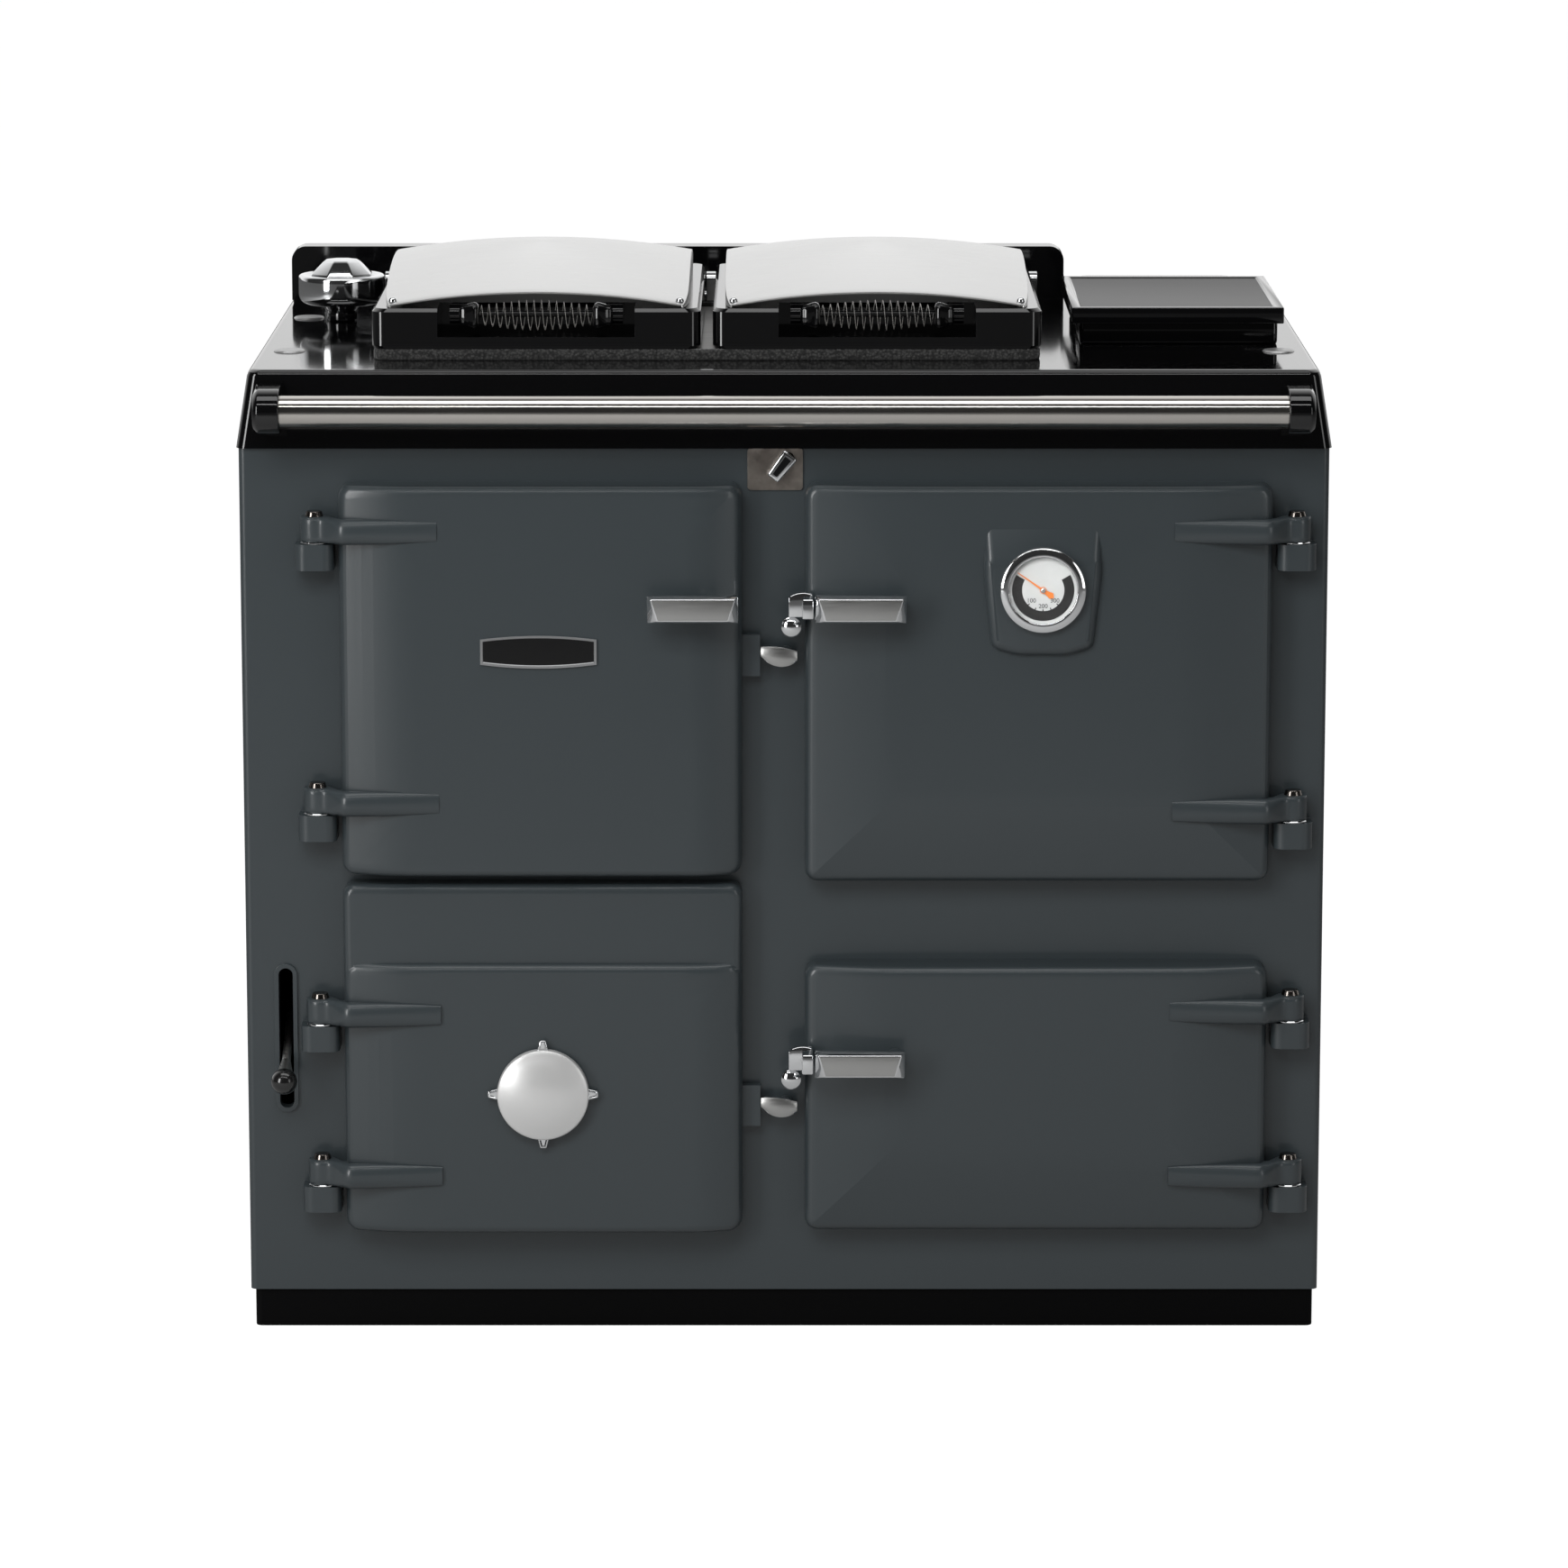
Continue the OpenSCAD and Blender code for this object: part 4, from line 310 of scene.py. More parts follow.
SKIRT_LEFT, SKIRT_FRONT, SKIRT_RIGHT, SKIRT_BACK = 8, 24, 4, 8     # how far it stands inside the plate
SKIRT_FOOT, RIM_WIDE = 889, 8
flue_low, flue_high = span("flue_cover")
block((flue_low[0] + SKIRT_LEFT, flue_low[1] + SKIRT_FRONT, SKIRT_FOOT),
    (flue_high[0] - SKIRT_RIGHT, flue_high[1] - SKIRT_BACK, flue_low[2] + 1), 4)
settle("flue_skirt", "root", "enamel_black", black_enamel)

flue_steel = enamel("flue_steel", (0.006, 0.0061, 0.0061), (0.005, 0.0051, 0.0051),
    0.42, 0.000004, skin=0.0)
block(flue_low, flue_high, 0)
pick(lambda face: face.normal.z > 0.9)
bpy.ops.mesh.inset(thickness=RIM_WIDE * MM, depth=0)
bpy.ops.mesh.inset(thickness=1.2 * MM, depth=-1.5 * MM)
bpy.ops.object.mode_set(mode="OBJECT")
plate = bpy.context.object
plate.data.materials.append(black_enamel)
plate.data.materials.append(flue_steel)
field = max((face for face in plate.data.polygons if face.normal.z > 0.9), key=lambda face: face.area)
field.material_index = 1
soften(1.1)
settle("flue_plate", "root", "enamel_black", black_enamel, "flue_cover")


# ---- Hotplate ---------------------------------------------------------------
# One thick iron plate, ground flat with fine straight marks, lies under both
# lids, and a braided rope round its edge seals them; the grooves between the rope's strands carry painted
# shade.
ground_iron = finish("ground_iron", (0.20, 0.195, 0.19), 0.42, 0.75)
marks = grain(ground_iron, 60, 4, (0.4, 14, 1))
vary(ground_iron, marks, "Roughness", 0.34, 0.52)
tint(ground_iron, grain(ground_iron, 6, 4), (0.13, 0.125, 0.12), (0.23, 0.225, 0.22))
relief(ground_iron, marks, 0.00005)
dress(["hotplate"], ground_iron, 0.0015)

glass_rope = finish("glass_rope", (0.05, 0.05, 0.05), 0.8, Sheen_Weight=0.2)
braid_and_groove_shade = grain(glass_rope, 420, 0, (1, 1, 1), "ShaderNodeTexVoronoi")
# The grooves between the braid's strands are painted darker than the strands: painted shade, not the
# rope's own colour.
tint(glass_rope, braid_and_groove_shade, (0.035, 0.035, 0.034), (0.004, 0.004, 0.004), 0.1, 0.7)
relief(glass_rope, braid_and_groove_shade, -0.0008)
dress(["hotplate_seal", "firebox_door_rope", "ashpit_door_rope", "top_oven_door_rope",
    "bottom_oven_door_rope"], glass_rope, 0.0022)


# ---- Lid covers -------------------------------------------------------------
# Each lid wears a pressed cover of finely brushed stainless steel, crowned both
# ways, that two screws hold to the casting's front corners.
def turned(profile, place, facing="up", steps=96):
    """Lathe work: corners of (radius, height) in mm are spun about the piece's own axis."""
    bpy.ops.object.select_all(action="DESELECT")
    bpy.ops.mesh.primitive_plane_add(size=MM)
    bpy.ops.object.mode_set(mode="EDIT")
    bpy.ops.mesh.select_mode(type="VERT")
    bpy.ops.mesh.select_all(action="SELECT")
    bpy.ops.mesh.merge(type="CENTER")
    radius, height = profile[0]
    bpy.ops.transform.translate(value=(radius * MM, 0, height * MM))
    for to_radius, to_height in profile[1:]:
        bpy.ops.mesh.extrude_region_move(TRANSFORM_OT_translate={
            "value": ((to_radius - radius) * MM, 0, (to_height - height) * MM)})
        radius, height = to_radius, to_height
    bpy.ops.mesh.select_all(action="SELECT")
    bpy.ops.mesh.spin(steps=steps, angle=2 * pi, center=(0, 0, 0), axis=(0, 0, 1))
    bpy.ops.mesh.select_all(action="SELECT")
    bpy.ops.mesh.remove_doubles(threshold=0.01 * MM)
    bpy.ops.mesh.normals_make_consistent(inside=False)
    bpy.ops.object.mode_set(mode="OBJECT")
    piece = bpy.context.object
    piece.rotation_euler = (radians(90) if facing == "front" else 0, 0, 0)
    piece.location = place
    return piece

def arc(middle_r, middle_h, radius, start, end, count=6):
    """Corners of a profile along an arc, from one angle to the other."""
    turns = [radians(start + (end - start) * i / count) for i in range(count + 1)]
    return [(middle_r + radius * cos(t), middle_h + radius * sin(t)) for t in turns]

lid_steel = finish("lid_steel", (0.74, 0.74, 0.735), 0.3, 1.0, Anisotropic=0.4)
hairline = grain(lid_steel, 55, 5, (0.6, 16, 1))
vary(lid_steel, hairline, "Roughness", 0.27, 0.37)
relief(lid_steel, hairline, 0.000012)
chrome = finish("chrome", (0.80, 0.81, 0.82), 0.06, 1.0)
vary(chrome, grain(chrome, 40, 4), "Roughness", 0.04, 0.1)

COVER_RISE, COVER_ARCH, COVER_WALL = 27 * MM, 12 * MM, 2 * MM
COVER_IN, COVER_EASE, COVER_LIP = 8 * MM, 5 * MM, 2.4 * MM
SCREW = [(0, 2.6), (1.6, 2.5), (3.0, 1.8), (3.8, 0.5), (3.8, -1.5), (0, -1.5)]

def cover_side(half_wide, along):
    """A cover's half width, which draws in a little near its front and back edges."""
    return half_wide - COVER_EASE * abs(along) ** 10

for side in ("left", "right"):
    low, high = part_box(side + "_lid_cover")
    half_wide, half_long = (high[0] - low[0]) / 2 - COVER_IN, (high[1] - low[1]) / 2
    bend = (half_long ** 2 + COVER_RISE ** 2) / (2 * COVER_RISE)
    bpy.ops.object.select_all(action="DESELECT")
    bpy.ops.mesh.primitive_grid_add(x_subdivisions=36, y_subdivisions=44, size=2)
    sheet = bpy.context.object.data
    for corner in sheet.vertices:
        across, along, _ = corner.co
        crown = sqrt(bend ** 2 - (along * half_long) ** 2) - bend + COVER_RISE
        corner.co = (across * cover_side(half_wide, along), along * half_long,
            crown + COVER_ARCH * (1 - across ** 2))
    bpy.ops.object.mode_set(mode="EDIT")
    bpy.ops.mesh.select_mode(type="EDGE")
    bpy.ops.mesh.select_all(action="DESELECT")
    bpy.ops.object.mode_set(mode="OBJECT")
    for edge in sheet.edges:
        ends = [sheet.vertices[i].co for i in edge.vertices]
        edge.select = all(abs(abs(e.x) - cover_side(half_wide, e.y / half_long)) < 0.1 * MM for e in ends)
    bpy.ops.object.mode_set(mode="EDIT")
    bpy.ops.mesh.extrude_region_move(TRANSFORM_OT_translate={"value": (0, 0, 0)})
    bpy.ops.transform.resize(value=(1, 1, 0), center_override=(0, 0, 0))
    bpy.ops.transform.translate(value=(0, 0, -COVER_LIP))
    bpy.ops.mesh.select_all(action="SELECT")
    bpy.ops.mesh.remove_doubles(threshold=0.01 * MM)
    bpy.ops.mesh.normals_make_consistent(inside=False)
    bpy.ops.object.mode_set(mode="OBJECT")
    sheet.update()
    top = max(sheet.polygons, key=lambda face: face.center.z)
    if top.normal.z < 0:
        sheet.flip_normals()
    harden("SOLIDIFY", thickness=COVER_WALL, offset=-1)
    soften(0.6, 2, 50)
    bpy.context.object.location = ((low[0] + high[0]) / 2, (low[1] + high[1]) / 2,
        high[2] - COVER_RISE - COVER_ARCH)
    settle(side + "_lid_pressing", side + "_lid_body", "lid_steel", lid_steel,
        side + "_lid_cover", angle=28)
    for end in (-1, 1):
        turned(SCREW, ((low[0] + high[0]) / 2 + end * (half_wide - 8 * MM), low[1] + 7 * MM,
            high[2] - COVER_RISE - COVER_ARCH + 4.2 * MM), steps=24)
        settle(side + "_cover_screw_%d" % (end + 2), side + "_lid_body", "bright_chrome", chrome)


# ---- Coil handles -----------------------------------------------------------
# Each lid is lifted by a coil of bright wire that swells to its middle, wound
# round a rod between two black lugs, so that it stays cool.
COIL_WIRE, COIL_END, COIL_MIDDLE, COIL_TURNS = 1.5 * MM, 7.6 * MM, 12.6 * MM, 15
COIL_PROUD = 11 * MM                      # how far the coil stands in front of the casting's notch
LUG_LOW, LUG_HIGH, LUG_OUT = (-9, -14, -11), (9, 12, 12), 8
wire_steel = finish("wire_steel", (0.80, 0.78, 0.75), 0.24, 0.5)
vary(wire_steel, grain(wire_steel, 300, 3), "Roughness", 0.2, 0.3)
for side in ("left", "right"):
    low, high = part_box(side + "_lid_coil")
    run = high[0] - low[0] - 3.4 * MM     # the wire's own ends lie inside the rod's length
    bpy.ops.object.select_all(action="DESELECT")
    bpy.ops.mesh.primitive_circle_add(vertices=10, radius=COIL_WIRE, location=(0, COIL_END, 0),
        rotation=(0, radians(90), 0))
    bpy.ops.object.transform_apply(location=True, rotation=True, scale=True)
    harden("SCREW", axis="X", angle=2 * pi, screw_offset=run / COIL_TURNS, iterations=COIL_TURNS,
        steps=24, render_steps=24, use_merge_vertices=False)
    wire = bpy.context.object.data
    for point in wire.vertices:
        reach = sqrt(point.co.y ** 2 + point.co.z ** 2)
        swell = (COIL_MIDDLE - COIL_END) * sin(pi * min(max(point.co.x / run, 0), 1))
        point.co.y *= (reach + swell) / reach
        point.co.z *= (reach + swell) / reach
    bpy.ops.object.mode_set(mode="EDIT")
    bpy.ops.mesh.select_all(action="SELECT")
    bpy.ops.mesh.fill_holes(sides=0)
    bpy.ops.mesh.select_all(action="SELECT")
    bpy.ops.mesh.normals_make_consistent(inside=False)
    bpy.ops.object.mode_set(mode="OBJECT")
    middle_y, middle_z = (low[1] + high[1]) / 2 - COIL_PROUD, (low[2] + high[2]) / 2
    bpy.context.object.location = (low[0] + 1.7 * MM, middle_y, middle_z)
    settle(side + "_lid_spring", side + "_lid_body", "bright_chrome", wire_steel,
        side + "_lid_coil", angle=60)
    for end, place_x in ((1, low[0]), (2, high[0])):
        out = 1 if end == 2 else -1
        lug = block(LUG_LOW, LUG_HIGH, 5, 4)
        for corner in lug.data.vertices:
            if corner.co.x * out > 0:
                corner.co.z *= 0.8
                corner.co.y = corner.co.y * 0.7 + 3 * MM
        lug.location = (place_x + out * LUG_OUT * MM, middle_y + 2 * MM, middle_z - 1 * MM)
        settle(side + "_coil_lug_%d" % end, side + "_lid_body", "enamel_black", black_enamel)


# ---- Thermostat -------------------------------------------------------------
# The knob is chromed: a spun bowl with a rolled rim, a grip with eight flat
# sides standing in it, and a neck that widens to the bowl, over a black collar.
BOWL = ([(0, -38.8), (26, -38.8)] + arc(31, -28.8, 10.2, 280, 360, 6) + [(41.2, -17)]
    + arc(38.4, -13.4, 2.8, 10, 90, 5) + [(34, -10.8), (32, -12.5), (0, -12.5)])
NECK = [(0, -45.2), (13.4, -45.2), (14.4, -44), (17.6, -40), (19.4, -38.4), (0, -38.4)]
GRIP_R, GRIP_FOOT, GRIP_HIGH, GRIP_CAP = 31 * MM, -12 * MM, 11 * MM, 2.5 * MM
low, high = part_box("thermostat_knob")
knob_middle = ((low[0] + high[0]) / 2, (low[1] + high[1]) / 2, high[2])
turned(BOWL, knob_middle)
settle("thermostat_bowl", "thermostat", "bright_chrome", chrome, "thermostat_knob")
turned(NECK, knob_middle, steps=64)
settle("thermostat_neck", "thermostat", "bright_chrome", chrome)
bpy.ops.object.select_all(action="DESELECT")
bpy.ops.mesh.primitive_cylinder_add(vertices=8, radius=GRIP_R, depth=4 * MM,
    location=(knob_middle[0], knob_middle[1], knob_middle[2] + GRIP_FOOT), rotation=(0, 0, radians(22.5)))
bpy.ops.object.transform_apply(location=True, rotation=True, scale=True)
pick(lambda face: face.normal.z > 0.9)
bpy.ops.mesh.extrude_region_move(TRANSFORM_OT_translate={"value": (0, 0, GRIP_HIGH)})
bpy.ops.transform.resize(value=(0.62, 0.62, 1), center_override=knob_middle)
bpy.ops.mesh.extrude_region_move(TRANSFORM_OT_translate={"value": (0, 0, GRIP_CAP)})
bpy.ops.transform.resize(value=(0.8, 0.8, 1), center_override=knob_middle)
bpy.ops.object.mode_set(mode="OBJECT")
soften(1.2, 3, 20)
settle("thermostat_grip", "thermostat", "bright_chrome", chrome)


# ---- Chrome fittings --------------------------------------------------------
# The rail is a polished steel tube, the keepers and the lids' hinges are
# chromed, and the fixing caps and the doors' pins have gone dull with use.
rail_steel = finish("rail_steel", (0.60, 0.575, 0.54), 0.12, 1.0)
vary(rail_steel, grain(rail_steel, 40, 4, (0.2, 3, 3)), "Roughness", 0.09, 0.18)
dress(["handrail"], rail_steel)
dress(["oven_keepers", "lid_hinges"], chrome, 0.0006, 40)
cap_steel = finish("cap_steel", (0.42, 0.42, 0.42), 0.35, 0.8)
vary(cap_steel, grain(cap_steel, 200, 3), "Roughness", 0.3, 0.42)
dress(["fixing_caps"], cap_steel, 0.0004, 40)
pin_steel = finish("pin_steel", (0.20, 0.18, 0.165), 0.16, 1.0)
vary(pin_steel, grain(pin_steel, 120, 3), "Roughness", 0.12, 0.24)
dress(["door_hinge_pins"], pin_steel, 0.0006, 40)


# ---- Hinge arms -------------------------------------------------------------
# An arm is cast with its door: a thick rounded bar that leaves the pin, climbs
# onto the door's face and thins out there. A bright washer lies under its knuckle.
ARM_HALF, ARM_RUN, KNUCKLE, PIN_Y = 11.7, 124, 12.6, FOOT / MM - 12
ARM_CLIMB, CLIMB_START, CLIMB_RUN = 22, 16, 26
THIN_START, THIN_ONTO, THIN_LATE = 34, 3.6, 7.2
WASHER = [(5.4, -13.2), (12.2, -13.2), (12.8, -12.6), (12.8, -12.0), (12.2, -11.4), (5.4, -11.4),
    (5.4, -13.2)]

def hinge_bar(name, body, pin_x, level, inward):
    """An arm from its pin at pin_x, inward to the right (1) or to the left (-1), drawn from a ball."""
    bpy.ops.object.select_all(action="DESELECT")
    bpy.ops.mesh.primitive_uv_sphere_add(segments=48, ring_count=56, radius=1,
        rotation=(0, radians(90), 0))
    bpy.ops.object.transform_apply(location=True, rotation=True, scale=True)
    for corner in bpy.context.object.data.vertices:
        t = (corner.co.x + 1) / 2
        ring = sqrt(max(1e-9, 1 - corner.co.x ** 2))
        up, out = corner.co.z / ring, corner.co.y / ring
        reach = ARM_RUN * t
        square = 8 - 5.8 * min(1, max(0, (reach - 16) / 16))    # squarer in section round the pin
        swell = (abs(up) ** square + abs(out) ** square) ** (-1 / square)
        onto = min(1, max(0, (reach - CLIMB_START) / CLIMB_RUN))
        late = max(0, (reach - THIN_START) / (ARM_RUN - THIN_START))
        nose = sqrt(max(0, KNUCKLE ** 2 - max(0, KNUCKLE - reach) ** 2))
        middle = ARM_CLIMB * onto ** 2 * (3 - 2 * onto)
        thick = nose - THIN_ONTO * onto - THIN_LATE * late if reach > KNUCKLE else nose
        half = (ARM_HALF - 3 * late ** 2) * min(1, nose / 3)
        corner.co = ((pin_x + inward * (reach - KNUCKLE)) * MM,
            (PIN_Y - middle - out * swell * thick) * MM, (level + up * swell * half) * MM)
    bpy.ops.object.mode_set(mode="EDIT")
    bpy.ops.mesh.select_all(action="SELECT")
    bpy.ops.mesh.normals_make_consistent(inside=False)
    bpy.ops.object.mode_set(mode="OBJECT")
    settle(name, body, "enamel_slate", slate_enamel, angle=60)

for door, pin_x, levels, inward in (("firebox_door", -424, (749, 500), 1),
        ("ashpit_door", -424, (304, 153), 1), ("top_oven_door", 463, (749, 493), -1),
        ("bottom_oven_door", 463, (307, 153), -1)):
    for count, level in enumerate(levels):
        hinge_bar("%s_arm_%d" % (door, count + 1), door + "_body", pin_x, level, inward)
        turned(WASHER, (pin_x * MM, PIN_Y * MM, level * MM), steps=48)
        settle("%s_washer_%d" % (door, count + 1), "root", "bright_chrome", chrome)


# ---- Bare steel and phenolic ------------------------------------------------
# The riddling lever, the bush, the shelves, the liners and the ashpan are plain
# brushed steel, and the riddling knob is moulded black phenolic.
satin_steel = finish("satin_steel", (0.56, 0.55, 0.53), 0.32, 1.0)
brushed = grain(satin_steel, 60, 4, (1, 1, 22))
vary(satin_steel, brushed, "Roughness", 0.26, 0.42)
relief(satin_steel, brushed, 0.00002)
dress(["riddling_lever", "air_wheel_bush", "oven_shelves"], satin_steel, 0.0004, 40)
dress(["top_oven_door_liner", "bottom_oven_door_liner", "ashpan"], satin_steel, 0.001)
dress(["left_lid_liner", "right_lid_liner"], lid_steel, 0.001)

# The damper's index plate is duller, and marked by age and heat.
index_steel = finish("index_steel", (0.30, 0.265, 0.235), 0.38, 1.0)
worn = grain(index_steel, 120, 5)
vary(index_steel, worn, "Roughness", 0.3, 0.5)
tint(index_steel, grain(index_steel, 45, 5), (0.21, 0.185, 0.165), (0.36, 0.325, 0.29))
relief(index_steel, worn, 0.00003)
dress(["damper_plate"], index_steel, 0.0009, 40)

black_phenolic = finish("black_phenolic", (0.006, 0.006, 0.006), 0.18, Coat_Weight=0.5)
relief(black_phenolic, grain(black_phenolic, 120, 2), 0.00003)
dress(["riddling_knob"], black_phenolic, 0, 60)


# ---- Handles and latches ----------------------------------------------------
# Each handle is a chromed bar whose front is ground flat and brushed. An oven's
# bar turns on a stud, and a claw at its end rests over the keeper.
brushed_face = finish("brushed_face", (0.50, 0.50, 0.49), 0.34, 1.0, Anisotropic=0.3)
strokes = grain(brushed_face, 70, 5, (1, 1, 24))
vary(brushed_face, strokes, "Roughness", 0.28, 0.42)
relief(brushed_face, strokes, 0.00002)
BAR_WIDE, BAR_HIGH, BAR_DEEP = 82 * MM, 25 * MM, 13 * MM
FACE_ACROSS, FACE_UP, FACE_FOOT = 76 / 82, 20 / 25, 64 / 76    # the face to the bar, its foot to its top
CLAW_R, CLAW_THICK, CLAW_DROP, CLAW_PAST = 22 * MM, 10 * MM, 11 * MM, 9 * MM
NECK_WIDE, NECK_HIGH, NECK_IN = 10 * MM, 18 * MM, 7 * MM

def grip_bar(middle_x, front_y, middle_z):
    """A bar with its trapezoid front face at front_y."""
    back = 0.55 * BAR_DEEP
    bpy.ops.object.select_all(action="DESELECT")
    bpy.ops.mesh.primitive_cube_add(size=1, scale=(BAR_WIDE, BAR_DEEP - back, BAR_HIGH),
        location=(middle_x, front_y + BAR_DEEP - (BAR_DEEP - back) / 2, middle_z))
    bpy.ops.object.transform_apply(location=True, rotation=True, scale=True)
    pick(lambda face: face.normal.y < -0.9)
    bpy.ops.mesh.extrude_region_move(TRANSFORM_OT_translate={"value": (0, -back, 0)})
    bpy.ops.transform.resize(value=(FACE_ACROSS, 1, FACE_UP),
        center_override=(middle_x, front_y, middle_z))
    bpy.ops.object.mode_set(mode="OBJECT")
    bar = bpy.context.object
    for corner in bar.data.vertices:
        if corner.co.y < front_y + 0.1 * MM and corner.co.z < middle_z:
            corner.co.x = middle_x + (corner.co.x - middle_x) * FACE_FOOT
    soften(1.0, 3, 15)
    bar.data.materials.append(chrome)
    bar.data.materials.append(brushed_face)
    for face in bar.data.polygons:
        if face.normal.y < -0.999 and face.area > 0.0005:
            face.material_index = 1
    return bar

def join(*pieces):
    """Makes one mesh of several, in the first one."""
    bpy.ops.object.select_all(action="DESELECT")
    for piece in pieces:
        piece.select_set(True)
    bpy.context.view_layer.objects.active = pieces[0]
    bpy.ops.object.join()

low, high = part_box("firebox_door_handle")
bar = grip_bar((low[0] + high[0]) / 2, low[1], (low[2] + high[2]) / 2)
post_deep = (high[1] - low[1] - BAR_DEEP) / MM
post = turned([(0, 0), (9, 0), (9, post_deep - 1.5), (10.5, post_deep + 1), (0, post_deep + 1)],
    (high[0] - 21 * MM, high[1], (low[2] + high[2]) / 2), "front", 32)
post.data.materials.append(chrome)
bpy.ops.object.transform_apply(location=True, rotation=True, scale=True)
join(bar, post)
settle("firebox_door_grip", "firebox_door_body", "bright_chrome", chrome,
    "firebox_door_handle", angle=28)

for oven in ("top_oven", "bottom_oven"):
    low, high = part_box(oven + "_latch")
    middle_z = (low[2] + high[2]) / 2
    bar = grip_bar(high[0] - BAR_WIDE / 2, low[1], middle_z)
    # The claw is a quarter of a thick disc, with its straight sides down and right.
    neck_x = high[0] - BAR_WIDE - NECK_IN
    claw_right, claw_foot = neck_x - 4 * MM, middle_z - CLAW_DROP
    bpy.ops.object.select_all(action="DESELECT")
    bpy.ops.mesh.primitive_circle_add(vertices=96, radius=CLAW_R, fill_type="NGON",
        location=(claw_right, high[1], claw_foot), rotation=(radians(90), 0, 0))
    claw = bpy.context.object
    bpy.ops.object.transform_apply(location=True, rotation=True, scale=True)
    for place, away in (((0, 0, claw_foot), (0, 0, -1)), ((claw_right + CLAW_PAST, 0, 0), (1, 0, 0)),
            ((low[0] + 0.2 * MM, 0, 0), (-1, 0, 0))):
        bpy.ops.object.mode_set(mode="EDIT")
        bpy.ops.mesh.select_all(action="SELECT")
        bpy.ops.mesh.bisect(plane_co=place, plane_no=away, clear_outer=True)
        bpy.ops.object.mode_set(mode="OBJECT")
    bpy.ops.object.mode_set(mode="EDIT")
    bpy.ops.mesh.select_all(action="SELECT")
    bpy.ops.mesh.extrude_region_move(TRANSFORM_OT_translate={"value": (0, -CLAW_THICK, 0)})
    bpy.ops.mesh.select_all(action="SELECT")
    bpy.ops.mesh.normals_make_consistent(inside=False)
    bpy.ops.object.mode_set(mode="OBJECT")
    soften(1.2)
    claw.data.materials.append(chrome)
    bpy.ops.object.select_all(action="DESELECT")
    bpy.ops.mesh.primitive_cube_add(size=1, scale=(NECK_WIDE, high[1] - low[1] - NECK_IN, NECK_HIGH),
        location=(neck_x + 0.5 * MM, (high[1] + low[1] + NECK_IN) / 2, middle_z))
    neck = bpy.context.object
    bpy.ops.object.transform_apply(location=True, rotation=True, scale=True)
    soften(1.2)
    neck.data.materials.append(chrome)
    join(bar, claw, neck)
    settle(oven + "_latch_bar", oven + "_latch_body", "bright_chrome", chrome,
        oven + "_latch", angle=28)


# ---- Door catches -----------------------------------------------------------
# A catch beside each left door is a domed, chromed thumb tab on a stud, a little
# higher at its left end. Turned, it frees the door.
TAB_HALF_WIDE, TAB_HALF_HIGH, TAB_HALF_THICK = 16.5, 9, 5
TAB_TOP_DROOP, TAB_FOOT_RISE, TAB_TILT = 2, 6, 0.11
TAB_DOME_ACROSS, TAB_DOME_UP, STUD_R = 2.6, 1.6, 4
for door in ("firebox", "ashpit"):
    low, high = span(door + "_catch")
    middle_x, middle_z = (low[0] + high[0]) / 2, (low[2] + high[2]) / 2
    tab = block((-TAB_HALF_WIDE, -TAB_HALF_THICK, -TAB_HALF_HIGH),
        (TAB_HALF_WIDE, TAB_HALF_THICK, TAB_HALF_HIGH), 0)
    bpy.ops.object.mode_set(mode="EDIT")
    bpy.ops.mesh.select_all(action="SELECT")
    bpy.ops.mesh.subdivide(number_cuts=9)
    bpy.ops.object.mode_set(mode="OBJECT")
    for corner in tab.data.vertices:
        across, up = corner.co.x / (TAB_HALF_WIDE * MM), corner.co.z / (TAB_HALF_HIGH * MM)
        if up > 0:
            corner.co.z -= TAB_TOP_DROOP * MM * across ** 2 * up
        else:
            corner.co.z += TAB_FOOT_RISE * MM * across ** 2 * -up
        if corner.co.y < 0:
            corner.co.y += (TAB_DOME_ACROSS * across ** 2 + TAB_DOME_UP * up ** 2) * MM
        corner.co.z -= TAB_TILT * corner.co.x
    soften(1.1, 3, 50)
    tab.data.materials.append(chrome)
    tab.data.materials.append(brushed_face)
    for face in tab.data.polygons:
        if face.normal.y < -0.85:
            face.material_index = 1
    tab.location = (middle_x * MM, (low[1] + 4.9) * MM, middle_z * MM)
    bpy.ops.object.transform_apply(location=True, rotation=True, scale=True)
    stud_long = high[1] - low[1] - 8
    stud = turned([(0, 0), (STUD_R, 0), (STUD_R, stud_long), (0, stud_long)],
        ((low[0] + high[0] - 6) / 2 * MM, high[1] * MM, middle_z * MM), "front", 32)
    stud.data.materials.append(chrome)
    bpy.ops.object.transform_apply(location=True, rotation=True, scale=True)
    join(tab, stud)
    settle(door + "_thumb_catch", door + "_catch_body", "bright_chrome", chrome,
        door + "_catch", angle=40)


# ---- Damper lever -----------------------------------------------------------
# The flue damper is set by a short blade over its index plate, chromed, with a
# sunk dark face.
BLADE_TILT, BLADE_HALF, BLADE_THICK, BLADE_FOOT, BLADE_TOP = radians(38), 6.5, 2.6, 20, 8
BLADE_BOSS = 9.5                          # its pivot, inside the node's right side and top
low, high = span("damper_lever")
boss_x, boss_z = high[0] - BLADE_BOSS, high[2] - BLADE_BOSS
blade = block((-BLADE_HALF, -BLADE_THICK, -BLADE_FOOT), (BLADE_HALF, BLADE_THICK, BLADE_TOP), 0)
for corner in blade.data.vertices:
    if corner.co.z > 0:
        corner.co.x *= 1.2
soften(5, 5)
pick(lambda face: face.normal.y < -0.99)
bpy.ops.mesh.inset(thickness=1.6 * MM, depth=0)
bpy.ops.mesh.inset(thickness=0.4 * MM, depth=-0.7 * MM)
bpy.ops.object.mode_set(mode="OBJECT")
blade.data.materials.append(chrome)
blade.data.materials.append(black_enamel)
for face in blade.data.polygons:
    if face.select:
        face.material_index = 1
blade.rotation_euler = (0, BLADE_TILT, 0)
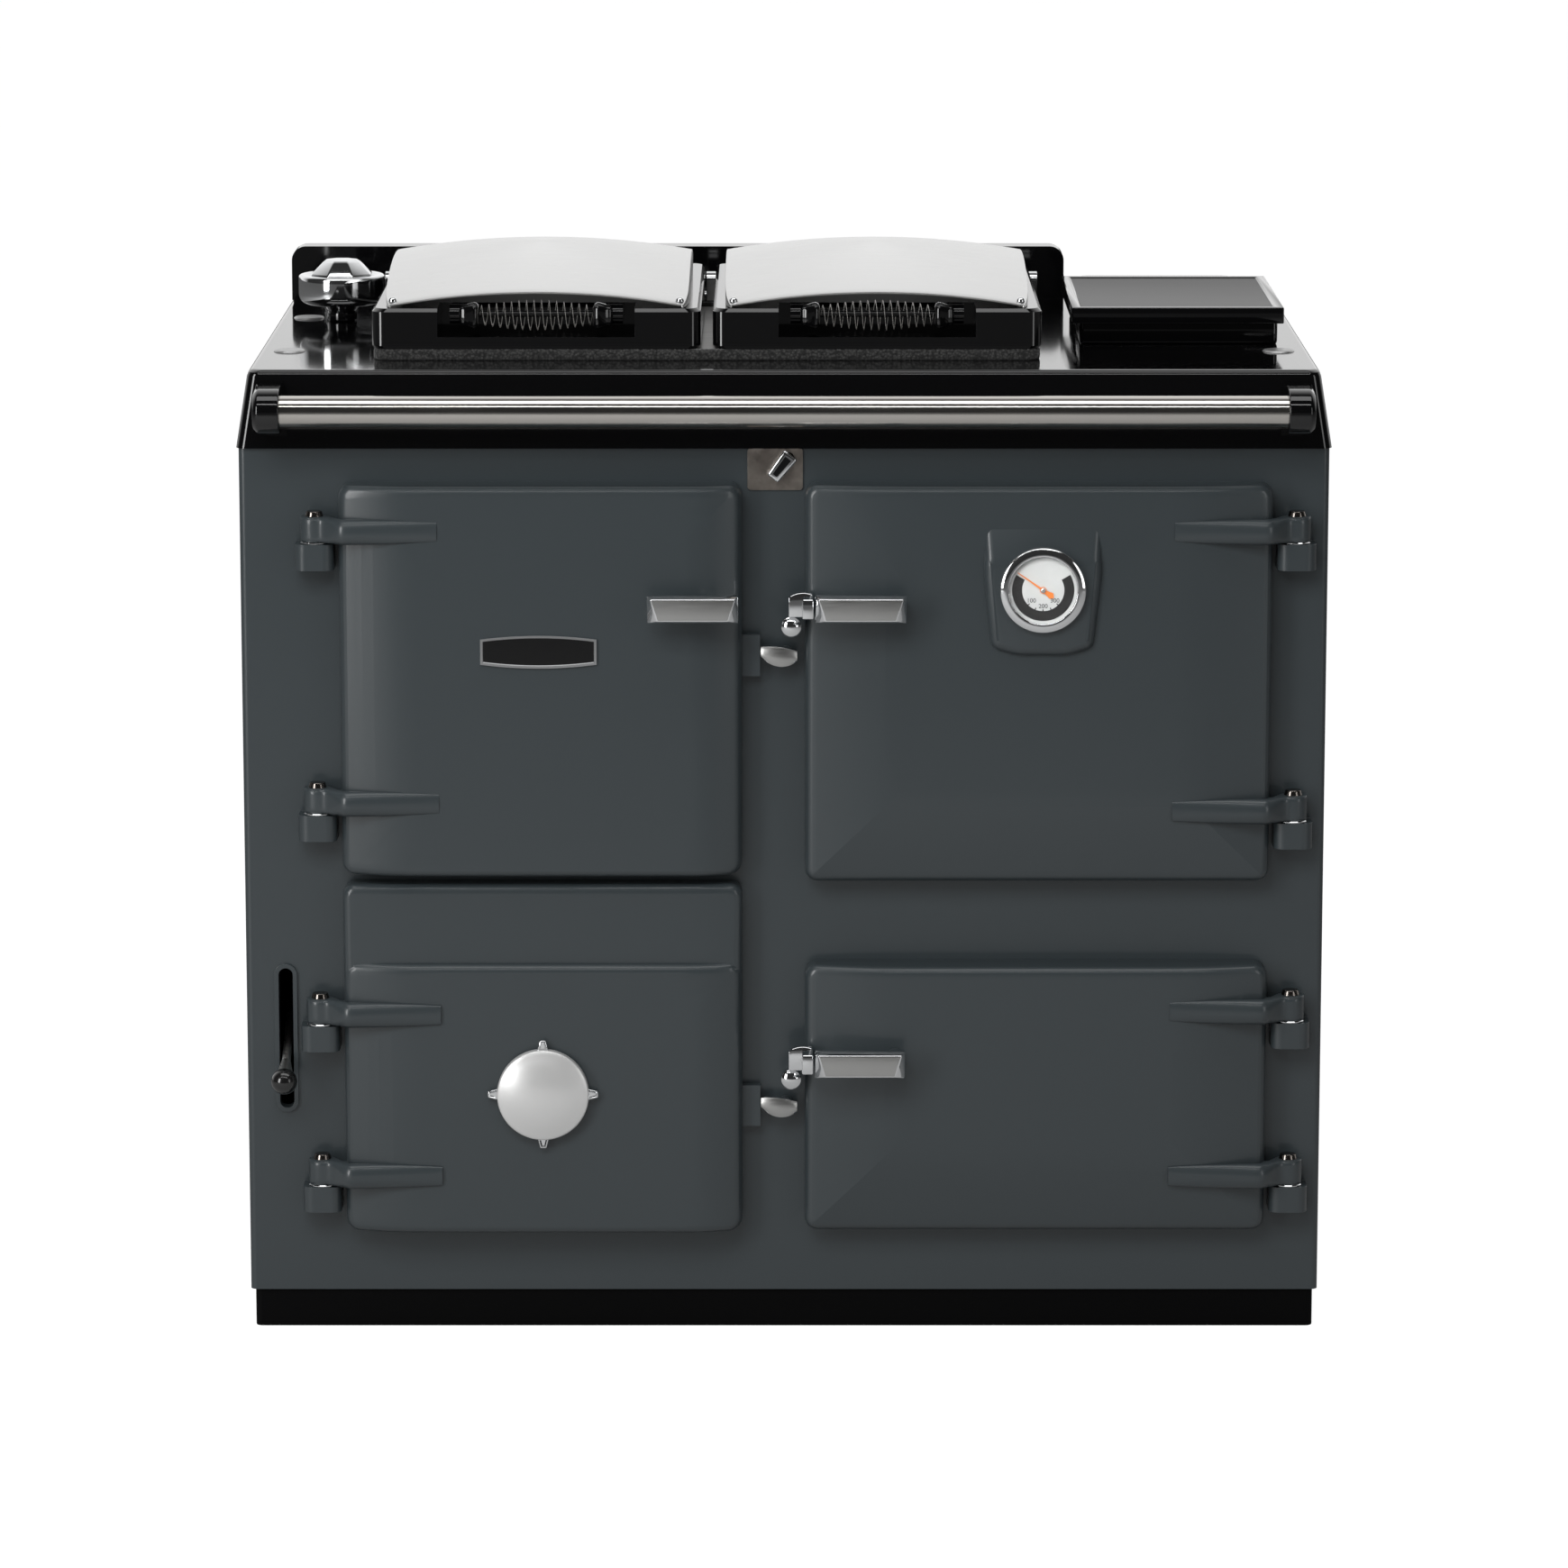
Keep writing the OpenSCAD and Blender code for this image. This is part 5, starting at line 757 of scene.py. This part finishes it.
blade.location = (boss_x * MM, (low[1] + BLADE_THICK) * MM, boss_z * MM)
settle("damper_blade", "damper", "bright_chrome", chrome, "damper_lever", angle=40)


# ---- Air wheel --------------------------------------------------------------
# A spun disc with a shallow satin crown screws in and out on the ashpit door's
# stud to let in air, and four stub lugs at its edge turn it.
wheel_satin = finish("wheel_satin", (0.66, 0.66, 0.655), 0.34, 0.55)
vary(wheel_satin, grain(wheel_satin, 90, 4), "Roughness", 0.31, 0.37)
relief(wheel_satin, grain(wheel_satin, 700, 2), 0.000004)
low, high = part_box("air_wheel")
deep = (high[1] - low[1]) / MM
wheel_middle = ((low[0] + high[0]) / 2, high[1], (low[2] + high[2]) / 2)
WHEEL_R, CROWN_R, LUG_WIDE, LUG_THICK, LUG_FROM_MIDDLE = 42, 95, 12, 5.4, 44.6
crown = CROWN_R - sqrt(CROWN_R ** 2 - 40.5 ** 2)
profile = [(0, deep)] + [(CROWN_R * sin(radians(a)), deep - CROWN_R * (1 - cos(radians(a))))
    for a in (3, 6, 9, 12, 15, 18, 21, 23.5)]
profile += arc(39.6, deep - crown - 1.9, 2.4, 62, -20, 5)
profile += [(WHEEL_R, deep - crown - 5), (WHEEL_R, 0.8), (41.2, 0)]
profile += [(36, 0), (36, 6), (14, 6), (14, 0), (9.2, 0), (9.2, 12), (0, 12)]
turned(profile, wheel_middle, "front", 128)
settle("air_wheel_disc", "air_wheel_body", "bright_chrome", wheel_satin, "air_wheel", angle=40)
for turn in range(4):
    bpy.ops.object.select_all(action="DESELECT")
    bpy.ops.mesh.primitive_cube_add(size=1, scale=(LUG_WIDE * MM, LUG_THICK * MM, LUG_WIDE * MM),
        location=(wheel_middle[0] + LUG_FROM_MIDDLE * MM, wheel_middle[1] - LUG_THICK / 2 * MM,
        wheel_middle[2]))
    bpy.ops.object.transform_apply(location=True, rotation=True, scale=True)
    lug = bpy.context.object
    for corner in lug.data.vertices:
        if corner.co.x > wheel_middle[0] + 45 * MM:
            corner.co.z = wheel_middle[2] + (corner.co.z - wheel_middle[2]) * 0.5
    soften(1.5)
    pick(lambda face: face.normal.y < -0.99)
    bpy.ops.mesh.inset(thickness=1.2 * MM, depth=-1.4 * MM)
    bpy.ops.mesh.select_all(action="SELECT")
    bpy.ops.transform.rotate(value=radians(90 * turn), orient_axis="Y", center_override=wheel_middle)
    bpy.ops.object.mode_set(mode="OBJECT")
    settle("air_wheel_lug_%d" % (turn + 1), "air_wheel_body", "bright_chrome", chrome)


# ---- Ovens and fire ---------------------------------------------------------
# Inside, the fire's iron is black with use, the firebricks are pale fired clay
# and the ovens are enamelled black with white flecks.
black_iron = finish("black_iron", (0.035, 0.034, 0.033), 0.6, 0.3)
tint(black_iron, grain(black_iron, 20, 5), (0.022, 0.021, 0.02), (0.05, 0.047, 0.044))
relief(black_iron, grain(black_iron, 500, 4), 0.0003)
dress(["firebox_shell", "grate_frame", "grate_bars", "firebox_door_liner",
    "damper_flap"], black_iron, 0.001)

oven_enamel = finish("oven_enamel", (0.02, 0.02, 0.022), 0.3, Coat_Weight=0.4)
tint(oven_enamel, grain(oven_enamel, 420, 2), (0.018, 0.018, 0.02), (0.22, 0.22, 0.22), 0.62, 0.68)
dress(["top_oven_cavity", "bottom_oven_cavity"], oven_enamel, 0.001)

fire_clay = finish("fire_clay", (0.5, 0.41, 0.3), 0.9)
tint(fire_clay, grain(fire_clay, 25, 5), (0.36, 0.29, 0.21), (0.58, 0.49, 0.37))
relief(fire_clay, grain(fire_clay, 300, 5), 0.0008)
dress(["firebricks"], fire_clay, 0.002)


# ---- Thermometer ------------------------------------------------------------
# The gauge on the top oven's door: a broad chromed bezel round a white dial with
# a black band, printed figures, an orange needle on a steel hub, and a glass. The
# door is cast with a boss round it, whose front slopes back into the door above.
BOSS = [(-54, 68), (54, 68), (55.5, 10), (48, -56), (24, -63), (-24, -63), (-48, -56), (-55.5, 10)]
BOSS_BACK, BOSS_DEEP, BOSS_SLOPE_TOP = 12 * MM, 12.2 * MM, 24 * MM
BEZEL = ([(32.2, 3.2), (32.2, 5.6), (30.6, 6.4)] + arc(31.6, 7.3, 1.0, 200, 80, 4)
    + [(34.2, 8.4), (36.4, 7.2)] + arc(36.6, 4.8, 2.3, 62, -10, 5)
    + [(38.9, 0.6), (38.2, 0), (5, 0), (5, 1.9), (32.2, 1.9), (32.2, 3.2)])
HUB = [(0, 5.9), (1.2, 5.8), (2.2, 5.3), (2.6, 4.6), (2.6, 4.4), (0, 4.4)]
BAND_INNER, BAND_OUTER, TICK_INNER, TICK_OUTER, TICK_SWEEP = 19, 28, 17.2, 19.4, 3.2
FIGURE_HIGH, FIGURE_PROUD = 5.6 * MM, 0.12 * MM
low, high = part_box("thermometer_bezel")
gauge_middle = ((low[0] + high[0]) / 2, high[1], (low[2] + high[2]) / 2)
bpy.ops.object.select_all(action="DESELECT")
bpy.ops.mesh.primitive_circle_add(vertices=len(BOSS), radius=1, fill_type="NGON",
    rotation=(radians(90), 0, 0))
bpy.ops.object.transform_apply(location=True, rotation=True, scale=True)
boss = bpy.context.object
in_turn = sorted(boss.data.vertices, key=lambda corner: atan2(corner.co.z, corner.co.x))
for corner, (across, up) in zip(in_turn, sorted(BOSS, key=lambda place: atan2(place[1], place[0]))):
    corner.co = (across * MM, BOSS_BACK, up * MM)
bpy.ops.object.mode_set(mode="EDIT")
bpy.ops.mesh.select_all(action="SELECT")
bpy.ops.mesh.extrude_region_move(TRANSFORM_OT_translate={"value": (0, -BOSS_DEEP, 0)})
bpy.ops.transform.resize(value=(0.9, 1, 0.93), center_override=(0, 0, -4 * MM))
bpy.ops.mesh.select_all(action="SELECT")
bpy.ops.mesh.normals_make_consistent(inside=False)
bpy.ops.object.mode_set(mode="OBJECT")
for corner in boss.data.vertices:
    if corner.co.y < BOSS_BACK / 2 and corner.co.z > 20 * MM:
        corner.co.z = BOSS_SLOPE_TOP
soften(7, 6, 15)
boss.location = gauge_middle
settle("gauge_boss", "top_oven_door_body", "enamel_slate", slate_enamel, angle=60)
turned(BEZEL, gauge_middle, "front", 128)
settle("gauge_bezel", "top_oven_door_body", "bright_chrome", chrome, "thermometer_bezel", angle=40)

dial_white = finish("dial_white", (0.43, 0.44, 0.435), 0.5)
tint(dial_white, grain(dial_white, 40, 3), (0.42, 0.43, 0.425), (0.45, 0.46, 0.455))
dress(["thermometer_dial"], dial_white)
dial_black = finish("dial_black", (0.006, 0.006, 0.006), 0.5)
vary(dial_black, grain(dial_black, 300, 3), "Roughness", 0.42, 0.58)
face_y = gauge_middle[1] - 3.05 * MM      # the dial's printed face

def printed_band(name, inner, outer, start, sweep):
    """A flat printed sector of the dial, from one angle on, anticlockwise as it is seen."""
    bpy.ops.object.select_all(action="DESELECT")
    bpy.ops.mesh.primitive_plane_add(size=MM)
    bpy.ops.object.mode_set(mode="EDIT")
    bpy.ops.mesh.select_mode(type="VERT")
    bpy.ops.mesh.select_all(action="SELECT")
    bpy.ops.mesh.merge(type="CENTER")
    bpy.ops.transform.translate(value=(inner * cos(start) * MM, 0, inner * sin(start) * MM))
    bpy.ops.mesh.extrude_region_move(TRANSFORM_OT_translate={"value":
        ((outer - inner) * cos(start) * MM, 0, (outer - inner) * sin(start) * MM)})
    bpy.ops.mesh.select_all(action="SELECT")
    bpy.ops.mesh.spin(steps=max(4, int(sweep * 24)), angle=sweep, center=(0, 0, 0), axis=(0, 1, 0))
    bpy.ops.mesh.select_all(action="SELECT")
    bpy.ops.mesh.extrude_region_move(TRANSFORM_OT_translate={"value": (0, -0.1 * MM, 0)})
    bpy.ops.mesh.select_all(action="SELECT")
    bpy.ops.mesh.normals_make_consistent(inside=False)
    bpy.ops.object.mode_set(mode="OBJECT")
    bpy.context.object.location = (gauge_middle[0], face_y, gauge_middle[2])
    settle(name, "top_oven_door_body", "black_knob", dial_black)

printed_band("dial_band", BAND_INNER, BAND_OUTER, radians(150), radians(240))
for count, angle in enumerate((225, 248, 270, 292, 315)):
    printed_band("dial_tick_%d" % (count + 1), TICK_INNER, TICK_OUTER,
        radians(angle - TICK_SWEEP / 2), radians(TICK_SWEEP))
for figure, angle, out in (("100", 222, 14.2), ("200", 270, 14.6), ("300", 318, 14.2)):
    bpy.ops.object.select_all(action="DESELECT")
    bpy.ops.object.text_add(rotation=(radians(90), 0, 0))
    digits = bpy.context.object
    digits.data.body = figure
    digits.data.size = FIGURE_HIGH
    digits.data.align_x = digits.data.align_y = "CENTER"
    digits.data.extrude = 0.05 * MM
    digits.location = (gauge_middle[0] + out * cos(radians(angle)) * MM, face_y - FIGURE_PROUD,
        gauge_middle[2] + out * sin(radians(angle)) * MM)
    bpy.ops.object.convert(target="MESH")
    settle("dial_figure_" + figure, "top_oven_door_body", "black_knob", dial_black)

needle_paint = finish("needle_paint", (0.62, 0.17, 0.03), 0.4)
vary(needle_paint, grain(needle_paint, 200, 2), "Roughness", 0.35, 0.5)
dress(["thermometer_needle"], needle_paint)
turned(HUB, gauge_middle, "front", 24)
settle("needle_hub", "needle_body", "bright_chrome", chrome)

clear_glass = finish("clear_glass", (1, 1, 1), 0.02, Transmission_Weight=1.0, IOR=1.45)
vary(clear_glass, grain(clear_glass, 30, 1), "Roughness", 0.0, 0.03)
dress(["thermometer_glass"], clear_glass)
nodes["thermometer_glass"].visible_shadow = False


# ---- Bare plate -------------------------------------------------------------
# A barrel-shaped chromed plate with a sunk black field is fixed to the firebox
# door's face. It is left bare.
PLATE_WIDE, PLATE_HIGH, PLATE_THICK, PLATE_DROOP = 105 * MM, 30 * MM, 2.4 * MM, 7 * MM
PLATE_PLACE = (-221.6 * MM, FOOT + (3.5 - 38) * MM, 640 * MM)
bpy.ops.object.select_all(action="DESELECT")
bpy.ops.mesh.primitive_grid_add(x_subdivisions=24, y_subdivisions=1, size=1, rotation=(radians(90), 0, 0))
bpy.ops.object.transform_apply(location=True, rotation=True, scale=True)
plate = bpy.context.object
for corner in plate.data.vertices:
    part = corner.co.x * 2
    corner.co.x *= PLATE_WIDE
    corner.co.z *= PLATE_HIGH - PLATE_DROOP * part ** 2
bpy.ops.object.mode_set(mode="EDIT")
bpy.ops.mesh.select_all(action="SELECT")
bpy.ops.mesh.dissolve_limited(angle_limit=radians(1))
bpy.ops.mesh.select_all(action="SELECT")
bpy.ops.mesh.extrude_region_move(TRANSFORM_OT_translate={"value": (0, -PLATE_THICK, 0)})
bpy.ops.mesh.select_all(action="SELECT")
bpy.ops.mesh.normals_make_consistent(inside=False)
bpy.ops.object.mode_set(mode="OBJECT")
pick(lambda face: face.normal.y < -0.99)
bpy.ops.mesh.inset(thickness=2.2 * MM, depth=0)
bpy.ops.mesh.inset(thickness=0.5 * MM, depth=-0.8 * MM)
bpy.ops.object.mode_set(mode="OBJECT")
plate.data.materials.append(chrome)
plate.data.materials.append(black_enamel)
for face in plate.data.polygons:
    if face.select:
        face.material_index = 1
plate.location = PLATE_PLACE
settle("bare_plate", "firebox_door_body", "bright_chrome", chrome)
